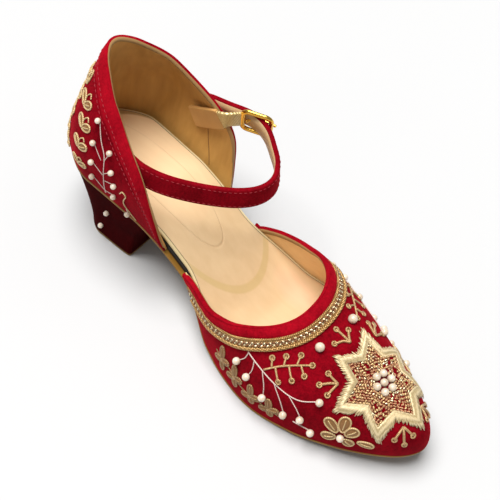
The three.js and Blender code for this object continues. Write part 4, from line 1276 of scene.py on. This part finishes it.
def braid_pieces():
    cords, brown, bright = (Stock() for _ in range(3))
    for place, radius in BRAID_CORDS:
        rope(cords, *throat_path(BINDING + place, radius * 0.75), radius)
    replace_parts(cords.make("braid_cords", BRAID_GOLD, "braid"), "throat_braid")
    for row, place in enumerate(BRAID_ROWS):
        path, normals = throat_path(BINDING + place, BRAID_BEAD["lift"])
        points, ups = even_path(path, normals, BRAID_BEAD["step"])[1:]
        along = unit(np.gradient(points, axis=0))
        slant = BRAID_BEAD["slant"] if row else -BRAID_BEAD["slant"]
        axes = unit(along + np.cross(ups, along) * slant)
        for k, (point, up, axis) in enumerate(zip(points, ups, axes)):
            stock = bright if (k + row) % 2 else brown
            oval_bead(stock, point, axis, up, BRAID_BEAD["long"], BRAID_BEAD["radius"], 7)
    brown.make("braid_beads", BRAID_BROWN, "braid")
    bright.make("braid_sparks", SPARK_GOLD, "braid")
    shares = np.linspace(0.1, 0.9, 5)[:, None]
    rows = vamp_lines.points(BINDING + BRAID * shares + 0 * vamp_lines.total)
    keep = vamp_lines.total > BINDING + BRAID
    base = (rows + grid_normals(rows) * BRAID_BASE_LIFT)[:, keep]
    Stock().grid(base).make("braid_base", BRAID_DARK, "braid")


def collar_stitches():
    dashes = Stock()
    along = np.linspace(-0.985, 0.985, 500)
    top = topline(counter_station(along))
    for place in COLLAR_STITCHES:
        stitches(dashes, *edge_line(lambda drop: counter_rows(along, drop), -1, top, STITCH_CLEAR, *place))
    dashes.make("collar_stitches", RED_STITCH, "velvet")


# Star


def make_threads(stocks, finishes, tag=""):
    for stock, (name, material) in zip(stocks, finishes.items()):
        stock.make(name + tag, material, "star_thread")


def star_radius(angle):
    """Distance of the star's outline from its middle: straight edges between points and notches."""
    tips = np.append(STAR_TIPS["turn"], 2 * np.pi)
    turns = np.sort(np.concatenate([tips, (tips[1:] + tips[:-1]) / 2]))
    reach = np.full(len(turns), STAR_NOTCH)
    reach[::2] = np.append(STAR_TIPS["reach"], STAR_TIPS["reach"][0])
    turn = np.asarray(angle) % (2 * np.pi)
    k = np.clip(np.searchsorted(turns, turn, side="right") - 1, 0, len(turns) - 2)
    near, far = reach[k], reach[k + 1]
    a, b = turns[k], turns[k + 1]
    return near * far * np.sin(b - a) / (near * np.sin(turn - a) + far * np.sin(b - turn))


class StarGround:
    """The vamp about the star's middle, by real distances forward and round the section."""

    def __init__(self):
        x, across = STAR_CENTRE
        step = vamp_point(np.float64(x + 1), across) - vamp_point(np.float64(x), across)
        self.slope = np.linalg.norm(step)
        self.stations = np.linspace(150, LENGTH - 0.5, 190)
        self.shares = np.linspace(0, 1, 97)
        points = vamp_point(self.stations[:, None], self.shares[None])
        steps = np.linalg.norm(np.diff(points, axis=1), axis=-1)
        self.reach = np.concatenate([np.zeros((len(self.stations), 1)), np.cumsum(steps, axis=1)], 1)

    def place(self, forward, over):
        x = min(STAR_CENTRE[0] + forward / self.slope, LENGTH - 0.6)
        spot = np.interp(x, self.stations, np.arange(len(self.stations)))
        k = min(int(spot), len(self.stations) - 2)
        reach = self.reach[k] + (self.reach[k + 1] - self.reach[k]) * (spot - k)
        middle = np.interp(STAR_CENTRE[1], self.shares, reach)
        return x, np.clip(np.interp(middle + over, reach, self.shares), 0.03, 0.97)

    def polar(self, radius, angle):
        """Point and outward normal of the vamp at a distance from the star's middle."""
        radius, angle = np.broadcast_arrays(np.asarray(radius, float), np.asarray(angle, float))
        pairs = zip(radius.ravel(), angle.ravel())
        spots = [self.place(r * math.cos(t), r * math.sin(t)) for r, t in pairs]
        return vamp_frame(*np.array(spots).T.reshape(2, *radius.shape))


def star_walk(scale, step):
    """Angles spaced evenly along the star's outline at a scale."""
    angle = np.linspace(0, 2 * np.pi, 2801)
    radius = star_radius(angle) * scale
    reach = path_reach(np.stack([radius * np.cos(angle), radius * np.sin(angle)], -1))
    count = int(reach[-1] / step)
    return np.interp(np.arange(count) * reach[-1] / count, reach, angle)


def star_border(ground):
    """Satin stitch: strands laid side by side across the border, with a loose outer fringe."""
    border = Stock()
    shares = np.linspace(0, 1, len(STAR_STRAND))[:, None]
    for layer, step in enumerate(STAR_LAYER_STEPS):
        angle = star_walk(1.0, step)
        angle = angle + RANDOM.normal(0, 0.004, len(angle))
        start = STAR_BORDER + 0.02 * layer + RANDOM.normal(0, 0.006, len(angle))
        end = STAR_EDGE + RANDOM.uniform(*STAR_FRINGE, len(angle)) + 0.012 * layer
        turned = angle + RANDOM.normal(0, 0.012, len(angle)) * shares
        points, normals = ground.polar(star_radius(angle) * (start + (end - start) * shares), turned)
        bow = np.sin(np.pi * np.clip(0.1 + 0.82 * shares, 0, 1)) ** 0.7
        lift = STAR_LIFT["foot"] + STAR_LIFT["bow"] * bow + STAR_LIFT["layer"] * layer
        strands = points + normals * lift[..., None]
        for k in range(len(angle)):
            tube(border, strands[:, k], normals[:, k], STAR_STRAND, sides=5)
    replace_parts(border.make("star_border", SATIN, "star_thread"), "star_motif")


def star_padding(ground):
    angle = np.linspace(0, 2 * np.pi, 421)
    points, normals = ground.polar(star_radius(angle) * np.linspace(STAR_BORDER, 0.96, 7)[:, None], angle)
    lift = 0.1 + 0.7 * np.sin(np.pi * np.linspace(0, 1, 7))[:, None, None]
    Stock().grid(points + normals * lift).make("star_padding", SATIN_DEEP, "star_thread")


def star_filling(ground):
    """Rows of short coiled beads that follow the star's outline, and pearls in the middle."""
    finishes = {
        "star_gold_beads": GOLD_THREAD, "star_copper_beads": COPPER,
        "star_spark_beads": SPARK_GOLD, "star_pearls": PEARL,
    }
    gold, copper, spark, pearls = stocks = [Stock() for _ in finishes]
    for scale in STAR_BEAD_ROWS:
        angle = star_walk(scale, STAR_BEAD["step"])
        points, normals = ground.polar(star_radius(angle) * scale, angle)
        ahead = ground.polar(star_radius(angle + 0.02) * scale, angle + 0.02)[0]
        for point, normal, axis in zip(points, normals, unit(ahead - points)):
            turn = RANDOM.normal(0, 0.38)
            way = unit(axis * math.cos(turn) + np.cross(normal, axis) * math.sin(turn))
            pick = RANDOM.random()
            if pick < STAR_BEAD["bare"]:
                continue
            stock = spark if pick > STAR_BEAD["gold"] else gold if pick > STAR_BEAD["copper"] else copper
            long = RANDOM.uniform(STAR_BEAD["shortest"], STAR_BEAD["longest"])
            oval_bead(stock, point + normal * STAR_BEAD["lift"], way, normal, long, STAR_BEAD["radius"], 6)
    ring = [(STAR_PEARL_RING, math.radians(60 * k + 15)) for k in range(6)]
    for radius, angle in [(0.0, 0.0)] + ring:
        point, normal = ground.polar(radius, angle)
        ball(pearls, point + normal * STAR_PEARL_LIFT, PEARL_RADIUS["star"], normal)
    make_threads(stocks, finishes)


# Embroidery


def vamp_ground(x, across):
    return vamp_frame(x, np.clip(across, 0.035, 0.965))


def laid_cord(stock, ground, knots, kind, raise_by=0.0):
    """A cord couched along knots on a surface."""
    radius, lift, taper, count = CORDS[kind]
    line = smooth_path(knots, count)
    point, normal = ground(line[:, 0], line[:, 1])
    tube(stock, point + normal * (lift + raise_by), normal, radius * np.linspace(1, taper, count), sides=7)


def pearl_on(stock, ground, place, kind):
    radius = PEARL_RADIUS[kind]
    point, normal = ground(*np.array(place, float))
    ball(stock, point + normal * radius * PEARL_SEAT, radius, normal)


def sequin_on(stock, centre_stock, ground, place, kind):
    """A ring sequin with a bead in its hole."""
    radius = SEQUIN_RADIUS[kind]
    point, normal = ground(*np.array(place, float))
    side, over = bead_axes(normal)
    turn = np.linspace(0, 2 * np.pi, 15)[:-1, None]
    path = point + normal * SEQUIN_LIFT + radius * (side * np.cos(turn) + over * np.sin(turn))
    tube(stock, path, normal, EDGE_CORD, sides=6, closed=True)
    ball(centre_stock, point + normal * SEQUIN_BEAD["lift"], radius * SEQUIN_BEAD["share"], normal,
         SEQUIN_BEAD["squash"])


def petal(face, cord, ground, base, tip, wide, raise_by=0.0):
    """A teardrop from a base to a tip: a low padded face, a cord round its edge and a rib."""
    ends, ups = ground(*np.array([base, tip], float).T)
    normal = unit(ups.sum(0))
    axis = unit(ends[1] - ends[0])
    long = np.linalg.norm(ends[1] - ends[0])
    turn = np.linspace(0, 2 * np.pi, 25)[:-1, None]
    along = (1 - np.cos(turn)) / 2
    half = wide * np.sin(turn) * (0.75 + 0.35 * along)
    start = ends[0] + normal * raise_by
    outline = start + axis * long * along + np.cross(normal, axis) * half
    tube(cord, outline + normal * EDGE_LIFT, normal, EDGE_CORD, sides=6, closed=True)
    middle = start + axis * long * PETAL_MIDDLE
    scales = np.array([1.0, 0.75, 0.45, 0.12])[:, None, None]
    pad = normal * (PETAL_LIFT + PETAL_PAD * (1 - scales ** 2))
    face.grid(middle + (outline - middle) * scales + pad, flip=True, ring=True)
    share = np.linspace(0.16, 0.84, 9)[:, None]
    fall = (share - PETAL_MIDDLE) / np.where(share < PETAL_MIDDLE, PETAL_MIDDLE, 1 - PETAL_MIDDLE)
    rib = start + axis * long * share + normal * (RIB_LIFT + PETAL_PAD * (1 - fall ** 2))
    tube(cord, rib, normal, RIB_CORD, sides=6)


def vamp_embroidery(tag, side):
    """Embroidery of one side of the vamp. The outer side mirrors the inner one."""
    finishes = {
        "spray_thread": WHITE_THREAD, "sprig_gold": COPPER_GOLD, "petal_edges": PALE_CORD,
        "chain_edges": GOLD_PAINTED_SHADE, "spray_pearls": PEARL, "petal_faces": PETAL,
    }
    white, gold, pale, dull, pearls, faces = stocks = [Stock() for _ in finishes]

    def ground(x, across):
        return vamp_ground(x, across if side < 0 else 1 - across)

    laid_cord(white, ground, SPRAY_STEM, "spray_stem")
    for fork, end in zip(SPRAY_FORKS, SPRAY_PEARLS):
        bend = ((fork[0] + end[0]) / 2 + 1.0, (fork[1] + end[1]) / 2)
        laid_cord(white, ground, [fork, bend, end], "spray_fork")
    for place in SPRAY_PEARLS + [SPRAY_STEM[-1]]:
        pearl_on(pearls, ground, place, "spray")
    laid_cord(gold, ground, SPRIG_STEM, "sprig_stem")
    for fork, tip in SPRIG_FORKS:
        laid_cord(gold, ground, [fork, tip], "sprig_fork")
    for tip in [tip for fork, tip in SPRIG_FORKS] + [SPRIG_STEM[-1]]:
        sequin_on(gold, faces, ground, tip, "sprig")
    centre = np.array(FLOWER_PEARL)
    for tip in FLOWER_PETALS:
        base, tip = (centre + (np.array(tip) - centre) * share for share in FLOWER_SPAN)
        petal(faces, pale, ground, base, tip, PETAL_HALF["flower"])
    pearl_on(pearls, ground, FLOWER_PEARL, "flower")
    petal(faces, pale, ground, *FLOWER_LEAF, PETAL_HALF["flower_leaf"])
    # dull carries the chain's cords in the gold darkened by painted shade
    laid_cord(dull, ground, CHAIN_STEM, "chain_stem")
    for x, across in CHAIN_FLOWERS:
        for turn in np.radians([20, 110, 200, 290]):
            tip = (x + CHAIN_PETAL[0] * math.cos(turn), across + CHAIN_PETAL[1] * math.sin(turn))
            petal(faces, dull, ground, (x, across), tip, PETAL_HALF["chain"])
        sequin_on(gold, faces, ground, (x, across), "chain")
    make_threads(stocks, finishes, tag)


def notch_sprigs():
    """Small sprigs in the notches of the star, and the two pearls beside it."""
    finishes = {"notch_sprigs": COPPER_GOLD, "notch_beads": PETAL, "loose_pearls": PEARL}
    gold, beads, pearls = stocks = [Stock() for _ in finishes]
    for vertex, tips in NOTCH_SPRIGS:
        for tip in tips:
            bend = ((vertex[0] + tip[0]) / 2, (vertex[1] * 0.6 + tip[1] * 0.4))
            laid_cord(gold, vamp_ground, [vertex, bend, tip], "notch_sprig")
            sequin_on(gold, beads, vamp_ground, tip, "notch")
    for place in LOOSE_PEARLS:
        pearl_on(pearls, vamp_ground, place, "loose")
    make_threads(stocks, finishes)


def leaf_group(faces, gold, ground, place, size, raise_by=0.0):
    """Two leaves that open from a base, with a small curl over them."""
    x, height = place
    for turn in LEAF_TURNS:
        tip = (x + LEAF_LONG * size * math.sin(turn), height + LEAF_LONG * size * math.cos(turn))
        petal(faces, gold, ground, place, tip, PETAL_HALF["leaf"] * size, raise_by)
    curl = [(x + a * size, height + b * size) for a, b in LEAF_CURL]
    laid_cord(gold, ground, curl, "leaf_curl", raise_by)


def heel_pearls(stock, side):
    """Pearls on the side of the heel, at shares of its height."""
    for x, share in HEEL_PEARLS:
        ring = heel_ring(share)
        half = ring[(ring[:, 1] - PLAN["centre"][0]) * side > 0]
        spot = half[np.argmin(np.abs(half[:, 0] - x))]
        height = TOP_PIECE_HIGH + (tread(x) - TOP_PIECE_HIGH) * share
        centre = np.array([spot[0], spot[1] + side * HEEL_PEARL_OUT, height])
        ball(stock, centre, PEARL_RADIUS["heel"], np.array([0.0, float(side), 0.0]))


def counter_embroidery(tag, side):
    """Embroidery of one side of the counter and of the heel below it."""
    finishes = {
        "counter_thread": WHITE_THREAD, "counter_gold": PALE_CORD,
        "counter_pearls": PEARL, "counter_petals": PETAL,
    }
    white, gold, pearls, faces = stocks = [Stock() for _ in finishes]

    def ground(x, height):
        return counter_frame(np.maximum(x, 0.4), np.maximum(height, 0.7), side)

    laid_cord(white, ground, COUNTER_STEM, "counter_stem")
    for fork, end in zip(COUNTER_FORKS, COUNTER_PEARLS[1:]):
        laid_cord(white, ground, [fork, end], "counter_fork")
    for place in COUNTER_PEARLS:
        pearl_on(pearls, ground, place, "counter")
    for place in COUNTER_LEAVES:
        leaf_group(faces, gold, ground, place, LEAF_SIZE)
    for place in BACK_LEAVES:
        leaf_group(faces, gold, ground, place, BACK_LEAF_SIZE, BACK_LEAF_LIFT)
    petal(faces, gold, ground, *TOP_LOOP, PETAL_HALF["top_loop"])
    laid_cord(gold, ground, COUNTER_LOOP, "counter_loop")
    heel_pearls(pearls, side)
    make_threads(stocks, finishes, tag)


braid_pieces()
collar_stitches()
star_ground = StarGround()
star_border(star_ground)
star_padding(star_ground)
star_filling(star_ground)
for side_tag, side_sign in SIDES.items():
    vamp_embroidery(side_tag, side_sign)
    counter_embroidery(side_tag, side_sign)
notch_sprigs()


# Camera, light and floor


def camera():
    data = bpy.data.cameras.new("camera")
    data.sensor_width = SENSOR_MM
    data.lens = LENS_MM
    eye = link("camera", data)
    place = Vector(to_scene(CAMERA_PLACE))
    look = Vector(to_scene(CAMERA_AIM)) - place
    turn = look.to_track_quat("-Z", "Y").to_matrix().to_4x4()
    roll = Matrix.Rotation(math.radians(CAMERA_ROLL), 4, "Z")
    eye.matrix_world = Matrix.Translation(place) @ turn @ roll
    bpy.context.scene.camera = eye


def light(name, kind, place, power, colour):
    data = bpy.data.lights.new(name, kind)
    data.energy = power
    data.color = colour
    lamp = link(name, data)
    lamp.location = place
    lamp.rotation_euler = (Vector(LIGHT_AIM) - Vector(place)).to_track_quat("-Z", "Y").to_euler()
    return data


def stage():
    paint = Paint("floor_white", (0.93, 0.93, 0.93), 0.9)
    tone = paint.ramp(paint.noise(3, 2), (0.3, (0.572, 0.576, 0.580)), (0.7, (0.582, 0.586, 0.590)))
    paint.put({"Base Color": tone})
    corners = [(a * FLOOR_REACH, b * FLOOR_REACH, 0) for a, b in ((-1, -1), (1, -1), (1, 1), (-1, 1))]
    mesh = bpy.data.meshes.new("floor")
    mesh.from_pydata(corners, [], [(0, 1, 2, 3)])
    mesh.materials.append(paint.material)
    floor = link("floor", mesh)
    world = bpy.data.worlds.new("studio")
    world.use_nodes = True
    background = world.node_tree.nodes["Background"]
    background.inputs["Color"].default_value = (*SKY, 1)
    background.inputs["Strength"].default_value = SKY_STRENGTH
    bpy.context.scene.world = world
    light("key", "SUN", **KEY).angle = KEY_SPREAD
    light("front", "AREA", **FRONT).size = FRONT_SIZE
    bpy.context.scene.view_settings.view_transform = "Standard"


camera()
stage()
